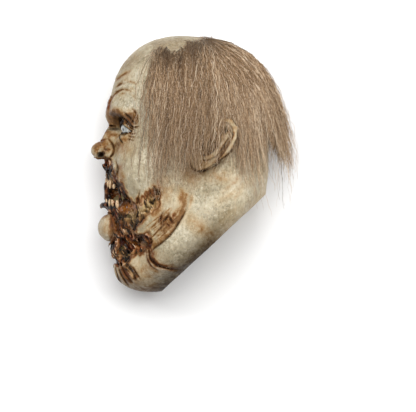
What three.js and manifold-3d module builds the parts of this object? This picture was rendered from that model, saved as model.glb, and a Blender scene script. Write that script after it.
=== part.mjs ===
// Overhead latex zombie mask, lying on its right side.
// Millimetres, +Z up. The face looks along -Y, the crown points to -X, the
// neck opening to +X, and the mask's left side is up.
//
// The form is first worked out in a head frame: u to the back of the head,
// v to the crown, w to the left ear. It is one smooth sum of rounded masses
// (skull, cheeks, jaws, chins, rolls of the neck). A grid of rays from the
// middle of the head meets that sum, once for the outside and once a wall
// deeper for the inside, so the casting is a true hollow shell.
import * as THREE from 'three';
import { mergeVertices } from 'three/addons/utils/BufferGeometryUtils.js';
import Module from 'manifold-3d';

const wasm = await Module();
wasm.setup();

const rad = THREE.MathUtils.degToRad;

// ---- sizes ---------------------------------------------------------------
const WALL = 3;               // cast latex
const REST_W = 77;            // the right side is pressed flat this far out
const REST_SOFT = 3;          // roundness where the flat side begins
const GAP = 0.3;              // between pieces that touch

const EYE_R = 13;             // cast resin eye, half a ball
const EYE_AT = [-72, 27, 34];
const EYE_BACK = 4;           // flat back, behind the middle of the ball

const MOUTH_AT = [-90, -55, 0];    // open mouth, right through the wall
const MOUTH_R = [42, 8, 33];
const NOSTRIL_AT = [-111, -9, 7];
const NOSTRIL_R = [4.5, 8, 4.2];

const EAR_AT = [30, 2.5, 82];
const EAR_R = [21.5, 38, 9];   // half width, half length, half thickness
const EAR_TILT = -33;         // top leans back, degrees
const EAR_FLARE = 20;         // back edge stands off the head, degrees
const EAR_BOWL = 7;           // depth of the hollow of the ear

const RIM_AT = [93.5, -56.5]; // neck rim: a slanted cut from nape to chin
const RIM_OUT = [0.681, -0.732];

const HAIR_THICK = 6;
const HAIR_OFF = 0.5;         // its inside, off the skin
const HAIR_LOW = 0.8;         // it ends this far above the resting plane

// Grids of rays: around the face axis, and from the face to the back.
const OUTER_GRID = [43, 28];
const INNER_GRID = [26, 17];
const HAIR_GRID = [27, 17];
const MIDDLE = [-22, -42, 0];
const GUARD_TO = rad(75);
const FACE_RINGS = 0.6;        // below 1: rings lie closer together on the face

// ---- masses --------------------------------------------------------------
// name, sign, on both sides, centre [u,v,w], half sizes, turn about w, blend
const SKULL = [
  ['cranium',        +1, 0, [0, 49, 0],     [92, 93, 79],   0, 0],
  ['forehead',       +1, 0, [-26, 56, 0],   [73, 83, 68],   0, 12],
  ['back of head',   +1, 0, [32, 52, 0],    [71, 77, 75],   0, 14],
  ['nape',           +1, 0, [44, -22, 0],   [54, 78, 72],   0, 22],
  ['throat',         +1, 0, [30, -78, 0],   [66, 66, 66],   0, 10],
  ['face core',      +1, 0, [-38, -30, 0],  [58, 84, 66],   0, 22],
  ['cheek',          +1, 1, [-50, -22, 40], [40, 44, 38],   0, 18],
  ['jaw',            +1, 1, [-22, -78, 42], [56, 40, 42],  36, 16],
  ['neck roll',      +1, 1, [14, -92, 50],  [86, 34, 42],  42, 10],
];
const FACE = [
  ['double chin',    +1, 0, [-61, -147, 0], [34, 28, 50],   0, 8],
  ['chin back',      +1, 0, [-36, -138, 0], [44, 38, 60],   0, 14],
  ['torn jaw flesh', +1, 0, [-70, -94, 0],  [30, 36, 46],   0, 8],
  ['lower jaw',      +1, 0, [-84, -66, 0],  [22, 20, 34],   0, 10],
  ['upper jaw',      +1, 0, [-84, -30, 0],  [22, 26, 36],   0, 12],
  ['chin fold',      +1, 0, [-78, -124, 0], [24, 19, 34],   0, 5],
  ['brow',           +1, 1, [-77, 48, 22],  [20, 15, 27],   0, 14],
  ['glabella',       +1, 0, [-91, 47, 0],   [15, 19, 16],   0, 8],
];
// Knobs that stand out so far that they are masses of their own.
const KNOBS = [
  ['nose bridge',    [-95, 14, 0],   [14, 22, 13], -26],
  ['nose tip',       [-109, 2, 0],   [15, 13, 15],   0],
  ['nose wing left', [-97, -4, 13],  [12, 10, 10],   0],
  ['nose wing right', [-97, -4, -13], [12, 10, 10],   0],
  ['torn upper lip', [-103, -20, 0], [9, 5.5, 13], -20],
  ['torn lower lip', [-103, -67, 0], [10, 5.5, 14], 20],
  ['chin ball',      [-95, -97, 0],  [20, 18.5, 21], 0],
];

// The sockets round the eyes, hollowed out of all of these.
const ORBIT = { c: [-96, 26, 34], r: [22, 15, 24] };

// ---- distance to the form ------------------------------------------------
function toEllipsoid(p, c, r, turn) {
  let x = p[0] - c[0], y = p[1] - c[1];
  const z = p[2] - c[2];
  if (turn) {
    const s = Math.sin(rad(turn)), k = Math.cos(rad(turn));
    [x, y] = [x * k + y * s, -x * s + y * k];
  }
  const a = Math.hypot(x / r[0], y / r[1], z / r[2]);
  const b = Math.hypot(x / r[0] ** 2, y / r[1] ** 2, z / r[2] ** 2) + 1e-9;
  return a * (a - 1) / b;
}
const join = (a, b, k) => {
  const h = k > 0 ? Math.max(k - Math.abs(a - b), 0) / k : 0;
  return Math.min(a, b) - h * h * k / 4;
};
const carve = (a, b, k) => -join(-a, b, k);
const rimSide = (p) => (p[0] - RIM_AT[0]) * RIM_OUT[0] + (p[1] - RIM_AT[1]) * RIM_OUT[1];

function massDistance(p, masses) {
  const q = [p[0], p[1], Math.abs(p[2])];
  let d = 1e9;
  for (const [, sign, both, c, r, turn, k] of masses) {
    const e = toEllipsoid(both ? q : p, c, r, turn);
    d = d > 1e8 ? e : sign > 0 ? join(d, e, k) : carve(d, e, k);
  }
  return d;
}
const pressed = (d, p, plane) => -join(-d, p[2] + plane, REST_SOFT);   // flat right side
const headDistance = (p) => pressed(massDistance(p, [...SKULL, ...FACE]), p, REST_W + 0.6);
const scalpDistance = (p) => {
  const lock = toEllipsoid(p, [105, 8, 0], [24, 62, 58], 0);
  return pressed(join(massDistance(p, SKULL) - HAIR_THICK, lock, 20), p, REST_W - HAIR_LOW);
};

// ---- from rays to closed meshes ------------------------------------------
// A ray from the middle runs to its last crossing with the surface. Where a
// guard is given, the least of several rays round it counts, so that the
// coarse inside stays within every crease of the outside.
function reachOf(theta, phi, distance, level) {
  const s = Math.sin(theta);
  const dir = [-Math.cos(theta), s * Math.cos(phi), s * Math.sin(phi)];
  const at = (r) => distance(MIDDLE.map((m, i) => m + dir[i] * r)) - level;
  let far = 230, near = far, d = at(near);
  while (d > 0.02 && near > 1) { far = near; near -= Math.max(d * 0.6, 0.4); d = at(near); }
  for (let k = 0; k < 22; k++) { const m = (far + near) / 2; if (at(m) > 0) far = m; else near = m; }
  return [near, dir];
}
function raySolid([around, deep], distance, level, guard = 0) {
  const g = new THREE.SphereGeometry(1, around, deep);
  const pos = g.getAttribute('position');
  for (let i = 0; i < pos.count; i++) {
    const x = pos.getX(i), y = pos.getY(i), z = pos.getZ(i);
    const t = Math.acos(THREE.MathUtils.clamp(y, -1, 1)) / Math.PI;
    const theta = Math.PI * (FACE_RINGS * t + (1 - FACE_RINGS) * t * t);
    const phi = Math.hypot(x, z) < 1e-6 ? 0 : Math.atan2(z, x);
    let [reach, dir] = reachOf(theta, phi, distance, level);
    if (guard && theta < GUARD_TO) for (let k = 0; k < 8; k++) {
      const a = k * Math.PI / 4, step = guard * Math.PI / deep;
      const beside = reachOf(theta + Math.cos(a) * step, phi + Math.sin(a) * step / Math.max(Math.sin(theta), 0.25), distance, level);
      reach = Math.min(reach, beside[0]);
    }
    pos.setXYZ(i, MIDDLE[0] + dir[0] * reach, MIDDLE[1] + dir[1] * reach, MIDDLE[2] + dir[2] * reach);
  }
  return toSolid(g);
}

function toSolid(geometry) {
  const g = geometry.clone();
  for (const name of Object.keys(g.attributes)) if (name !== 'position') g.deleteAttribute(name);
  const m = mergeVertices(g, 1e-4);
  return new wasm.Manifold(new wasm.Mesh({
    numProp: 3,
    vertProperties: new Float32Array(m.getAttribute('position').array),
    triVerts: new Uint32Array(m.index.array),
  }));
}
function ellipsoid(c, r, turn = 0, seg = [16, 10], grow = 0) {
  const g = new THREE.SphereGeometry(1, seg[0], seg[1]);
  g.scale(r[0] + grow, r[1] + grow, r[2] + grow);
  g.rotateZ(rad(turn));
  g.translate(...c);
  return toSolid(g);
}
const box = (lo, hi) => {
  const g = new THREE.BoxGeometry(hi[0] - lo[0], hi[1] - lo[1], hi[2] - lo[2]);
  g.translate((lo[0] + hi[0]) / 2, (lo[1] + hi[1]) / 2, (lo[2] + hi[2]) / 2);
  return toSolid(g);
};

// An ear: a tilted plate with a rolled edge and a hollow in its face.
function ear(side) {
  const g = new THREE.SphereGeometry(1, 18, 10);
  g.rotateX(Math.PI / 2);
  const pos = g.getAttribute('position');
  for (let i = 0; i < pos.count; i++) {
    const x = pos.getX(i), y = pos.getY(i), z = pos.getZ(i);
    const lean = -0.12 * Math.max(0, -y);                     // the lobe runs forward
    const flat = Math.sign(z) * Math.abs(z) ** 0.7;
    const hollow = ((x + 0.1) / 0.5) ** 2 + ((y - 0.05) / 0.6) ** 2;
    const bowl = z > 0 ? Math.exp(-(hollow ** 2)) : 0;
    pos.setXYZ(i, (x + lean) * EAR_R[0], y * EAR_R[1], flat * EAR_R[2] - bowl * EAR_BOWL);
  }
  g.rotateY(rad(-EAR_FLARE));
  g.rotateZ(rad(EAR_TILT));
  g.translate(...EAR_AT);
  if (side < 0) {                                            // mirrored, then pressed to the head
    const p = g.getAttribute('position');
    for (let i = 0; i < p.count; i++) p.setZ(i, -Math.min(p.getZ(i), REST_W + 0.5 + 0.02 * (p.getZ(i) - REST_W)));
    const idx = g.index;
    for (let i = 0; i < idx.count; i += 3) { const a = idx.getX(i); idx.setX(i, idx.getX(i + 1)); idx.setX(i + 1, a); }
  }
  return toSolid(g);
}

// Beyond the neck rim everything is cut away.
function pastRim(shift = 0) {
  const g = new THREE.BoxGeometry(400, 400, 400);
  g.translate(200, 0, 0);
  g.rotateZ(Math.atan2(RIM_OUT[1], RIM_OUT[0]));
  g.translate(RIM_AT[0] + RIM_OUT[0] * shift, RIM_AT[1] + RIM_OUT[1] * shift, 0);
  return toSolid(g);
}

// ---- latex skin ----------------------------------------------------------
const largest = (solid) => solid.decompose().sort((a, b) => b.volume() - a.volume())[0];   // drops slivers of a cut
const sum = (list) => list.reduce((a, b) => a.add(b));
const knobs = (grow, seg) => KNOBS.map(([, c, r, turn]) => ellipsoid(c, r, turn, seg, grow));
const flatCut = box([-300, -300, -300], [300, 300, -REST_W]);

const orbit = (side, grow) => ellipsoid([ORBIT.c[0], ORBIT.c[1], side * ORBIT.c[2]], ORBIT.r, 0, [14, 10], grow);
const outside = sum([raySolid(OUTER_GRID, headDistance, 0), ...knobs(0, [12, 8]), ear(1), ear(-1)])
  .subtract(orbit(1, 0)).subtract(orbit(-1, 0));
const inside = sum([raySolid(INNER_GRID, headDistance, -WALL, 0.5), ...knobs(-WALL, [8, 6])])
  .subtract(orbit(1, WALL)).subtract(orbit(-1, WALL));
const socket = (side, grow) => ellipsoid([EYE_AT[0], EYE_AT[1], side * EYE_AT[2]], [EYE_R, EYE_R, EYE_R], 0, [18, 10], grow);
const nostril = (side) => ellipsoid([NOSTRIL_AT[0], NOSTRIL_AT[1], side * NOSTRIL_AT[2]], NOSTRIL_R, -12, [8, 6]);

const skin = largest(outside
  .subtract(inside)
  .subtract(pastRim())
  .subtract(socket(1, GAP + 0.15)).subtract(socket(-1, GAP + 0.15))
  .subtract(ellipsoid(MOUTH_AT, MOUTH_R, 0, [14, 8]))
  .subtract(nostril(1)).subtract(nostril(-1))
  .subtract(flatCut));

// ---- hair ----------------------------------------------------------------
// Side outline of the hair: it starts round the bald crown, hangs to the
// cheek and the nape, and a lock stands off behind the nape.
const HAIR_OUTLINE = [
  [-50, 129], [-52, 75], [-55, 37], [-60, 0], [-57, -36], [-44, -44], [-30, -34], [-8, -60],
  [10, -48], [34, -66], [58, -42], [84, -36], [101, -6], [108, -50], [122, -52], [134, 0],
  [134, 90], [100, 150], [31, 150], [30, 138], [12, 131], [-18, 121],
];
function hairZone() {
  const shape = new THREE.Shape(HAIR_OUTLINE.map(([u, v]) => new THREE.Vector2(u, v)));
  const g = new THREE.ExtrudeGeometry(shape, { depth: 300, bevelEnabled: false });
  g.translate(0, 0, -150);
  return toSolid(g);
}
const clearOfEar = (side) => ellipsoid([EAR_AT[0] + 1, EAR_AT[1], side * (EAR_AT[2] + 2)],
  [EAR_R[0] + 4, EAR_R[1] + 4, 26], EAR_TILT, [18, 10]);
const hair = largest(raySolid(HAIR_GRID, scalpDistance, 0)
  .intersect(hairZone())
  .subtract(raySolid(OUTER_GRID, headDistance, HAIR_OFF))
  .subtract(clearOfEar(1)).subtract(clearOfEar(-1))
  .subtract(box([-300, -300, -300], [300, 300, -REST_W + HAIR_LOW])));

// ---- eyes ----------------------------------------------------------------
function eye() {
  const profile = [];
  const steps = 7;
  const end = Math.acos(-EYE_BACK / EYE_R);
  for (let i = 0; i <= steps; i++) {
    const a = end * i / steps;
    const x = i === 0 ? 0 : EYE_R * Math.sin(a);
    profile.push(new THREE.Vector2(x, EYE_R * Math.cos(a) + (i < 2 ? 0.5 : 0)));   // slight bulge of the cornea
  }
  profile.push(new THREE.Vector2(0, -EYE_BACK));
  const g = new THREE.LatheGeometry(profile.reverse(), 16);
  g.rotateZ(Math.PI / 2);            // front of the eye towards -u
  return g;
}

// ---- the group -----------------------------------------------------------
const toGeometry = (solid) => {
  const m = solid.getMesh();
  const g = new THREE.BufferGeometry();
  g.setAttribute('position', new THREE.BufferAttribute(new Float32Array(m.vertProperties), 3));
  g.setIndex(new THREE.BufferAttribute(new Uint32Array(m.triVerts), 1));
  g.computeVertexNormals();
  return g;
};
const head = new THREE.Group();
const piece = (name, geometry, material) => {
  const m = new THREE.Mesh(geometry, new THREE.MeshStandardMaterial(material));
  m.name = name;
  head.add(m);
  return m;
};
piece('latex_skin', toGeometry(skin), { color: 0xc2b597, roughness: 0.62, metalness: 0 });
piece('hair', toGeometry(hair), { color: 0x96826c, roughness: 0.75, metalness: 0 });
for (const [name, side] of [['left_eye', 1], ['right_eye', -1]]) {
  const m = piece(name, eye(), { color: 0xc9d2c8, roughness: 0.12, metalness: 0 });
  m.position.set(EYE_AT[0], EYE_AT[1], side * EYE_AT[2]);
  m.rotation.y = rad(0);
}

// Head frame to resting frame: u to +Y, v to -X, w to +Z.
head.rotation.z = Math.PI / 2;
head.position.z = REST_W;
head.updateMatrixWorld(true);
const reach = new THREE.Box3().setFromObject(head, true);
head.position.x -= (reach.min.x + reach.max.x) / 2;
head.position.y -= (reach.min.y + reach.max.y) / 2;

const mask = new THREE.Group();
mask.add(head);
export default mask;
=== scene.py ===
"""Latex zombie mask, lying on its right side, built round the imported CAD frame."""
import math
import bpy
import numpy as np
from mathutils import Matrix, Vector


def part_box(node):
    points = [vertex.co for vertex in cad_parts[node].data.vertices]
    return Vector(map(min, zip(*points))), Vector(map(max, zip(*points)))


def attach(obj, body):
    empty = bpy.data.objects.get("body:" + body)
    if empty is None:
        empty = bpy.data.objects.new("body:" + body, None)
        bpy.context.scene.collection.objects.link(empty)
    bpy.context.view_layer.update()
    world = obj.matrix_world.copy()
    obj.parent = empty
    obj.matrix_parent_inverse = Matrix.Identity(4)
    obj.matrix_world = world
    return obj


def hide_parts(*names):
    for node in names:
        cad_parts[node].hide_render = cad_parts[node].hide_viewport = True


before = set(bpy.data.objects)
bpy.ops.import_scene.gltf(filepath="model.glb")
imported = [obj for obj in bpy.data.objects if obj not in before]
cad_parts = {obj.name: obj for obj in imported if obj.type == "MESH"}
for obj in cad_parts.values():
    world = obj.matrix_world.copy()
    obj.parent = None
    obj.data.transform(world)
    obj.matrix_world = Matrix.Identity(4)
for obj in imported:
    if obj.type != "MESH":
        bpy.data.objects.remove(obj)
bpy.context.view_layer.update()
# ==== FORM ====
# The form is worked out in a head frame in millimetres: u to the back of the
# head, v to the crown, w to the mask's left. Side features are placed by
# (x, y) on a side elevation with 1.25 mm to a unit.
f32 = np.float32
UNIT = 1.25
REST_W = 77.0
WALL = 3.0
EYE = np.array([-72.0, 27.0, 34.0])
EYE_R = 13.0
RIM_AT, RIM_OUT = (93.5, -56.5), (0.681, -0.732)


def uv(x, y):
    return (x - 190.0) * UNIT, (150.0 - y) * UNIT


# sign, both sides, centre, half sizes, turn about w, blend
MASSES = [
    (+1, 0, (0, 49, 0), (92, 93, 79), 0, 0),          # cranium
    (+1, 0, (-26, 56, 0), (73, 83, 68), 0, 12),       # forehead
    (+1, 0, (32, 52, 0), (71, 77, 75), 0, 14),        # back of head
    (+1, 0, (44, -22, 0), (54, 78, 72), 0, 22),       # nape
    (+1, 0, (30, -78, 0), (66, 66, 66), 0, 10),       # throat
    (+1, 0, (-38, -30, 0), (58, 84, 66), 0, 22),      # face core
    (+1, 1, (-50, -22, 40), (40, 44, 38), 0, 18),     # cheek
    (+1, 1, (-22, -78, 42), (56, 40, 42), 36, 16),    # jaw
    (+1, 1, (14, -92, 50), (86, 34, 42), 42, 10),     # neck roll
    (+1, 0, (-61, -147, 0), (34, 28, 50), 0, 8),      # double chin
    (+1, 0, (-36, -138, 0), (44, 38, 60), 0, 14),
    (+1, 0, (-70, -94, 0), (30, 36, 46), 0, 8),       # torn jaw flesh
    (+1, 0, (-84, -66, 0), (22, 20, 34), 0, 10),      # lower jaw
    (+1, 0, (-84, -30, 0), (22, 26, 36), 0, 12),      # upper jaw
    (+1, 0, (-78, -124, 0), (24, 19, 34), 0, 5),      # chin fold
    (+1, 1, (-77, 48, 22), (20, 15, 27), 0, 14),      # brow
    (+1, 0, (-91, 47, 0), (15, 19, 16), 0, 8),        # glabella
    (+1, 0, (-95, 14, 0), (14, 22, 13), -26, 5),      # nose bridge
    (+1, 0, (-109, -0.8, 0), (14.6, 11.6, 14.5), 0, 5),   # nose tip
    (+1, 1, (-98, -5, 13), (12, 10.5, 10), 0, 4),     # nose wing
    (+1, 0, (-95, -97, 0), (20, 18.5, 25), 0, 3),     # chin ball
    (-1, 1, (-97, 27, 30), (22, 15, 22), 0, 9),       # eye socket
    (-1, 1, (-84, 27, 50), (18, 11, 13), 0, 7),       # its outer corner
]
# small forms on the outside only; side +1 left, -1 right, 0 both
LIPS = [
    (0, (-103, -20, 0), (9, 5.5, 13), -20, 4),        # torn upper lip
    (0, (-103, -13, 0), (7, 7, 9), 0, 4),             # under the nose
    (0, (-103, -67, 0), (10, 5, 14), 20, 4),          # torn lower lip
    (0, (-81, 14, 38), (11, 5, 15), 20, 7),           # bag under the eye
    (0, (-66, 33, 50), (13, 7, 7), -35, 7),           # puffed outer lid
    (1, (-80, -70.5, 27), (8, 6.8, 9), 0, 3),         # amber boil
    (0, (-99, -5, 20), (7, 7, 5), 0, 4),              # flare of the nostril
]


def turn(deg):
    a = math.radians(deg)
    return np.array([[math.cos(a), math.sin(a), 0], [-math.sin(a), math.cos(a), 0], [0, 0, 1]])


def ellipsoid(P, c, r, M=None):
    X = P - np.asarray(c, f32)
    if M is not None:
        X = X @ M.T.astype(f32)
    r = np.asarray(r, f32)
    X = X / r
    k0 = np.sqrt((X * X).sum(-1))
    X = X / r
    k1 = np.sqrt((X * X).sum(-1)) + f32(1e-9)
    return k0 * (k0 - 1) / k1


def capsule(P, a, b, ra, rb):
    a = np.asarray(a, f32)
    ba = np.asarray(b, f32) - a
    X = P - a
    t = np.clip(X @ ba / max(float(ba @ ba), 1e-9), 0, 1)
    X = X - t[:, None] * ba
    return np.sqrt((X * X).sum(-1)) - (ra + (rb - ra) * t)


def smin(a, b, k):
    if k <= 0:
        return np.minimum(a, b)
    h = np.maximum(k - np.abs(a - b), 0)
    return np.minimum(a, b) - h * h * f32(0.25 / k)


def smax(a, b, k):
    return -smin(-a, -b, k)


# ---- value noise ---------------------------------------------------------
LATTICE = np.random.default_rng(11).random((48, 48, 48)).astype(f32)


def noise(P, size, seed=0):
    """smooth noise in -1..1 with features about size mm wide; size may be a triple"""
    Q = P / np.asarray(size, f32) + f32(seed * 7.31 + 100.0)
    I = np.floor(Q).astype(np.int32)
    F = (Q - I).astype(f32)
    F = F * F * (3 - 2 * F)
    I0 = I % 48
    I1 = (I + 1) % 48
    x0, y0, z0 = I0[:, 0], I0[:, 1], I0[:, 2]
    x1, y1, z1 = I1[:, 0], I1[:, 1], I1[:, 2]
    fx, fy, fz = F[:, 0], F[:, 1], F[:, 2]
    L = LATTICE
    c00 = L[x0, y0, z0] * (1 - fx) + L[x1, y0, z0] * fx
    c10 = L[x0, y1, z0] * (1 - fx) + L[x1, y1, z0] * fx
    c01 = L[x0, y0, z1] * (1 - fx) + L[x1, y0, z1] * fx
    c11 = L[x0, y1, z1] * (1 - fx) + L[x1, y1, z1] * fx
    c0 = c00 * (1 - fy) + c10 * fy
    c1 = c01 * (1 - fy) + c11 * fy
    return (c0 * (1 - fz) + c1 * fz) * 2 - 1


def fbm(P, size, octaves=3, seed=0):
    out, amp, tot = 0, 1.0, 0.0
    for o in range(octaves):
        out = out + noise(P, np.asarray(size) / 2 ** o, seed + o * 3) * amp
        tot += amp
        amp *= 0.5
    return out / tot


def step(a, b, x):
    t = np.clip((x - a) / (b - a), 0, 1)
    return t * t * (3 - 2 * t)


# ---- side maps: creases, stains and torn regions ---------------------------
MAP_H = 0.5
MAP_LO = (-134.0, -186.0)
MAP_N = (500, 676)
GU = MAP_LO[0] + MAP_H * np.arange(MAP_N[0])
GV = MAP_LO[1] + MAP_H * np.arange(MAP_N[1])
MAPS = {n: np.zeros(MAP_N, f32) for n in ('height', 'stain_and_shade', 'dark', 'red')}


def polyline(points):
    """a smooth curve through side-elevation points, with its running fraction"""
    p = np.array([uv(*q) for q in points])
    if len(p) > 2:
        t = np.arange(len(p))
        tt = np.linspace(0, len(p) - 1, (len(p) - 1) * 6 + 1)
        out = []
        for s in tt:
            i = min(int(s), len(p) - 2)
            f = s - i
            p0, p1, p2, p3 = p[max(i - 1, 0)], p[i], p[i + 1], p[min(i + 2, len(p) - 1)]
            out.append(0.5 * (2 * p1 + (p2 - p0) * f + (2 * p0 - 5 * p1 + 4 * p2 - p3) * f ** 2
                              + (3 * p1 - p0 - 3 * p2 + p3) * f ** 3))
        p = np.array(out)
    return p


def crease(points, width, height, stain_and_shade=0.0, dark=0.0, red=0.0, spread=2.2, ends=0.35):
    """a groove (height below 0) or a ridge along a curve, with its colour"""
    p = polyline(points)
    reach = width * max(spread, 1) * 3 + 2
    lo, hi = p.min(0) - reach, p.max(0) + reach
    i0 = np.clip(np.floor((lo - MAP_LO) / MAP_H).astype(int), 0, np.array(MAP_N) - 1)
    i1 = np.clip(np.ceil((hi - MAP_LO) / MAP_H).astype(int), 1, np.array(MAP_N))
    U, V = np.meshgrid(GU[i0[0]:i1[0]], GV[i0[1]:i1[1]], indexing='ij')
    best = np.full(U.shape, 1e9)
    frac = np.zeros(U.shape)
    seg = np.linalg.norm(np.diff(p, axis=0), axis=1)
    run = np.concatenate([[0], np.cumsum(seg)])
    for k in range(len(p) - 1):
        a, b = p[k], p[k + 1]
        d = b - a
        t = np.clip(((U - a[0]) * d[0] + (V - a[1]) * d[1]) / (d @ d + 1e-9), 0, 1)
        q = np.hypot(U - a[0] - t * d[0], V - a[1] - t * d[1])
        m = q < best
        best[m] = q[m]
        frac[m] = ((run[k] + t * seg[k]) / run[-1])[m]
    fade = np.clip(np.minimum(frac, 1 - frac) / max(ends, 1e-3), 0, 1) ** 0.6
    fade = 0.25 + 0.75 * fade
    core = np.exp(-(best / width) ** 2) * fade
    lip = np.exp(-((best - 2.0 * width) / width) ** 2) * fade
    wide = np.exp(-(best / (width * spread)) ** 2) * fade
    s = (slice(i0[0], i1[0]), slice(i0[1], i1[1]))
    MAPS['height'][s] += (height * core - 0.25 * height * lip).astype(f32)
    for name, v in (('stain_and_shade', stain_and_shade), ('dark', dark), ('red', red)):
        if v:
            MAPS[name][s] = np.maximum(MAPS[name][s], (v * (wide if name != 'dark' else 0.35 * wide + 0.65 * core)).astype(f32))


def ledge(points, depth, reach, lip, start=0.3, stain_and_shade=0.8, dark=0.4):
    """a sharp step along a curve: sunk and stained on the face's side, a raised lip on the other"""
    p = polyline(points)
    U, V = np.meshgrid(GU, GV, indexing='ij')
    best = np.full(U.shape, 1e9)
    frac = np.zeros(U.shape)
    sign = np.ones(U.shape)
    seg = np.linalg.norm(np.diff(p, axis=0), axis=1)
    run = np.concatenate([[0], np.cumsum(seg)])
    for k in range(len(p) - 1):
        a, b = p[k], p[k + 1]
        d = b - a
        t = np.clip(((U - a[0]) * d[0] + (V - a[1]) * d[1]) / (d @ d + 1e-9), 0, 1)
        q = np.hypot(U - a[0] - t * d[0], V - a[1] - t * d[1])
        m = q < best
        best[m] = q[m]
        frac[m] = ((run[k] + t * seg[k]) / run[-1])[m]
        sign[m] = np.sign((U - a[0]) * d[1] - (V - a[1]) * d[0])[m]
    amp = start + (1 - start) * step(0.1, 0.5, frac)
    amp = amp * step(1.0, 0.93, frac)
    s = np.where(sign > 0, best, -best)                    # above 0 on the face's side
    left = step(-0.6, 0.6, s)
    h = amp * (-depth * np.exp(-(np.clip(s, 0, 99) / reach)) * left
               + lip * np.exp(-(np.clip(-s, 0, 99) / 2.6) ** 2) * (1 - left))
    MAPS['height'] += h.astype(f32)
    st = amp * stain_and_shade * np.exp(-(np.clip(s, 0, 99) / (reach * 1.9)) ** 1.3) * left
    MAPS['stain_and_shade'] = np.maximum(MAPS['stain_and_shade'], st.astype(f32))
    dk = amp * dark * np.exp(-((s - 0.8) / 1.6) ** 2)
    MAPS['dark'] = np.maximum(MAPS['dark'], dk.astype(f32))


def blot(x, y, rx, ry, lean, name, amount, soft=0.6):
    """a soft oval of paint, for stains and for painted shade"""
    c = uv(x, y)
    a = math.radians(lean)
    U, V = np.meshgrid(GU - c[0], GV - c[1], indexing='ij')
    A = (U * math.cos(a) + V * math.sin(a)) / (rx * UNIT)
    B = (-U * math.sin(a) + V * math.cos(a)) / (ry * UNIT)
    d = np.hypot(A, B)
    MAPS[name][:] = np.maximum(MAPS[name], (amount * (1 - step(1 - soft, 1 + soft * 0.5, d))).astype(f32))


def region(points):
    """signed distance (mm, negative inside) of a closed outline"""
    p = np.array([uv(*q) for q in points])
    U, V = np.meshgrid(GU, GV, indexing='ij')
    best = np.full(U.shape, 1e9)
    inside = np.zeros(U.shape, bool)
    for k in range(len(p)):
        a, b = p[k], p[(k + 1) % len(p)]
        d = b - a
        t = np.clip(((U - a[0]) * d[0] + (V - a[1]) * d[1]) / (d @ d + 1e-9), 0, 1)
        best = np.minimum(best, np.hypot(U - a[0] - t * d[0], V - a[1] - t * d[1]))
        if a[1] != b[1]:
            cross = (V > min(a[1], b[1])) & (V <= max(a[1], b[1]))
            inside ^= cross & (U < a[0] + (V - a[1]) * (b[0] - a[0]) / (b[1] - a[1]))
    return np.where(inside, -best, best).astype(f32)


def sample(M, u, v):
    x = np.clip((u - MAP_LO[0]) / MAP_H, 0, MAP_N[0] - 1.01)
    y = np.clip((v - MAP_LO[1]) / MAP_H, 0, MAP_N[1] - 1.01)
    i, j = x.astype(np.int32), y.astype(np.int32)
    fx, fy = (x - i).astype(f32), (y - j).astype(f32)
    return ((M[i, j] * (1 - fx) + M[i + 1, j] * fx) * (1 - fy)
            + (M[i, j + 1] * (1 - fx) + M[i + 1, j + 1] * fx) * fy)


# torn, rotten flesh round the mouth and under the cheek
FLESH = region([(92, 163), (97, 161), (105, 159), (111, 160), (113, 167), (115.6, 175), (119.5, 181),
                (123.5, 188), (128, 197), (133, 202), (137, 205.5), (138.6, 199), (140, 205), (143, 205.5),
                (144.2, 197), (146.4, 203), (147.2, 192.5), (149.6, 200.5), (151.2, 189.5), (153.4, 198), (155.4, 186.5), (156.8, 195), (159.2, 189),
                (160.6, 196), (160.2, 204), (156.5, 210), (151, 213.5),
                (146, 218), (139, 225), (134, 232), (138, 235), (144, 234), (150, 231), (153, 240),
                (150, 247), (143, 252), (134, 254), (129, 261), (121, 266), (112, 262), (107, 256),
                (107, 247), (111, 242), (113, 233), (113, 226), (110, 215), (104, 211), (97, 206), (92, 202)])
SPLIT = region([(121, 263), (128, 262), (137, 275), (135, 279), (127, 272)])

# forehead
crease([(114, 82), (119, 79), (123.5, 76), (128, 73.5), (133, 70)], 0.95, -1.0, stain_and_shade=0.62, dark=0.05, spread=2.6)
crease([(117, 87), (121, 83), (125.5, 81), (131, 82)], 0.7, -0.8, stain_and_shade=0.5, spread=2.2)
crease([(119, 97), (123, 94.5), (127, 94.5)], 0.6, -0.6, stain_and_shade=0.5)
crease([(122, 71), (127, 67), (132, 64.5)], 0.7, -0.4, stain_and_shade=0.4)
crease([(116, 77.5), (122, 73), (128, 69.5)], 1.6, 0.9)
crease([(117, 84), (123, 80.5), (130, 77.5), (135, 78)], 1.8, 0.9)
crease([(115.5, 89.5), (118.5, 86.5), (122, 84.3), (126, 84)], 0.9, -1.4, stain_and_shade=0.75, dark=0.35, spread=2.0)
crease([(126, 84), (130, 82.3), (134.5, 83.5), (137, 86)], 0.9, -0.8, stain_and_shade=0.45, dark=0.15, spread=2.0)
crease([(110.5, 104), (112.5, 99), (115.5, 95), (119.5, 91.5), (124, 90.2), (128.5, 91), (132, 93.5)], 1.0, -1.6, stain_and_shade=0.75, dark=0.18, spread=2.0)
crease([(112, 93.5), (116, 91), (121, 88), (127, 87)], 1.5, 1.1)
crease([(112, 107), (113.5, 101), (117, 96.5), (122, 94)], 1.7, 1.3)
crease([(131, 94.5), (134.5, 97), (137, 101)], 0.9, -0.5, stain_and_shade=0.25)
crease([(129, 88), (133, 89.5), (136, 92.5)], 0.9, -0.5, stain_and_shade=0.3)
crease([(108.5, 112), (109.6, 106), (111, 101), (112.6, 96)], 1.0, -1.2, stain_and_shade=0.8, dark=0.2, red=0.4)
crease([(104.5, 114), (105.5, 108), (107.5, 103), (109.5, 98.5)], 1.5, -1.8, stain_and_shade=0.8, dark=0.5, red=0.9)
crease([(104, 110), (106, 104)], 1.0, 1.2, red=0.8)
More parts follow.
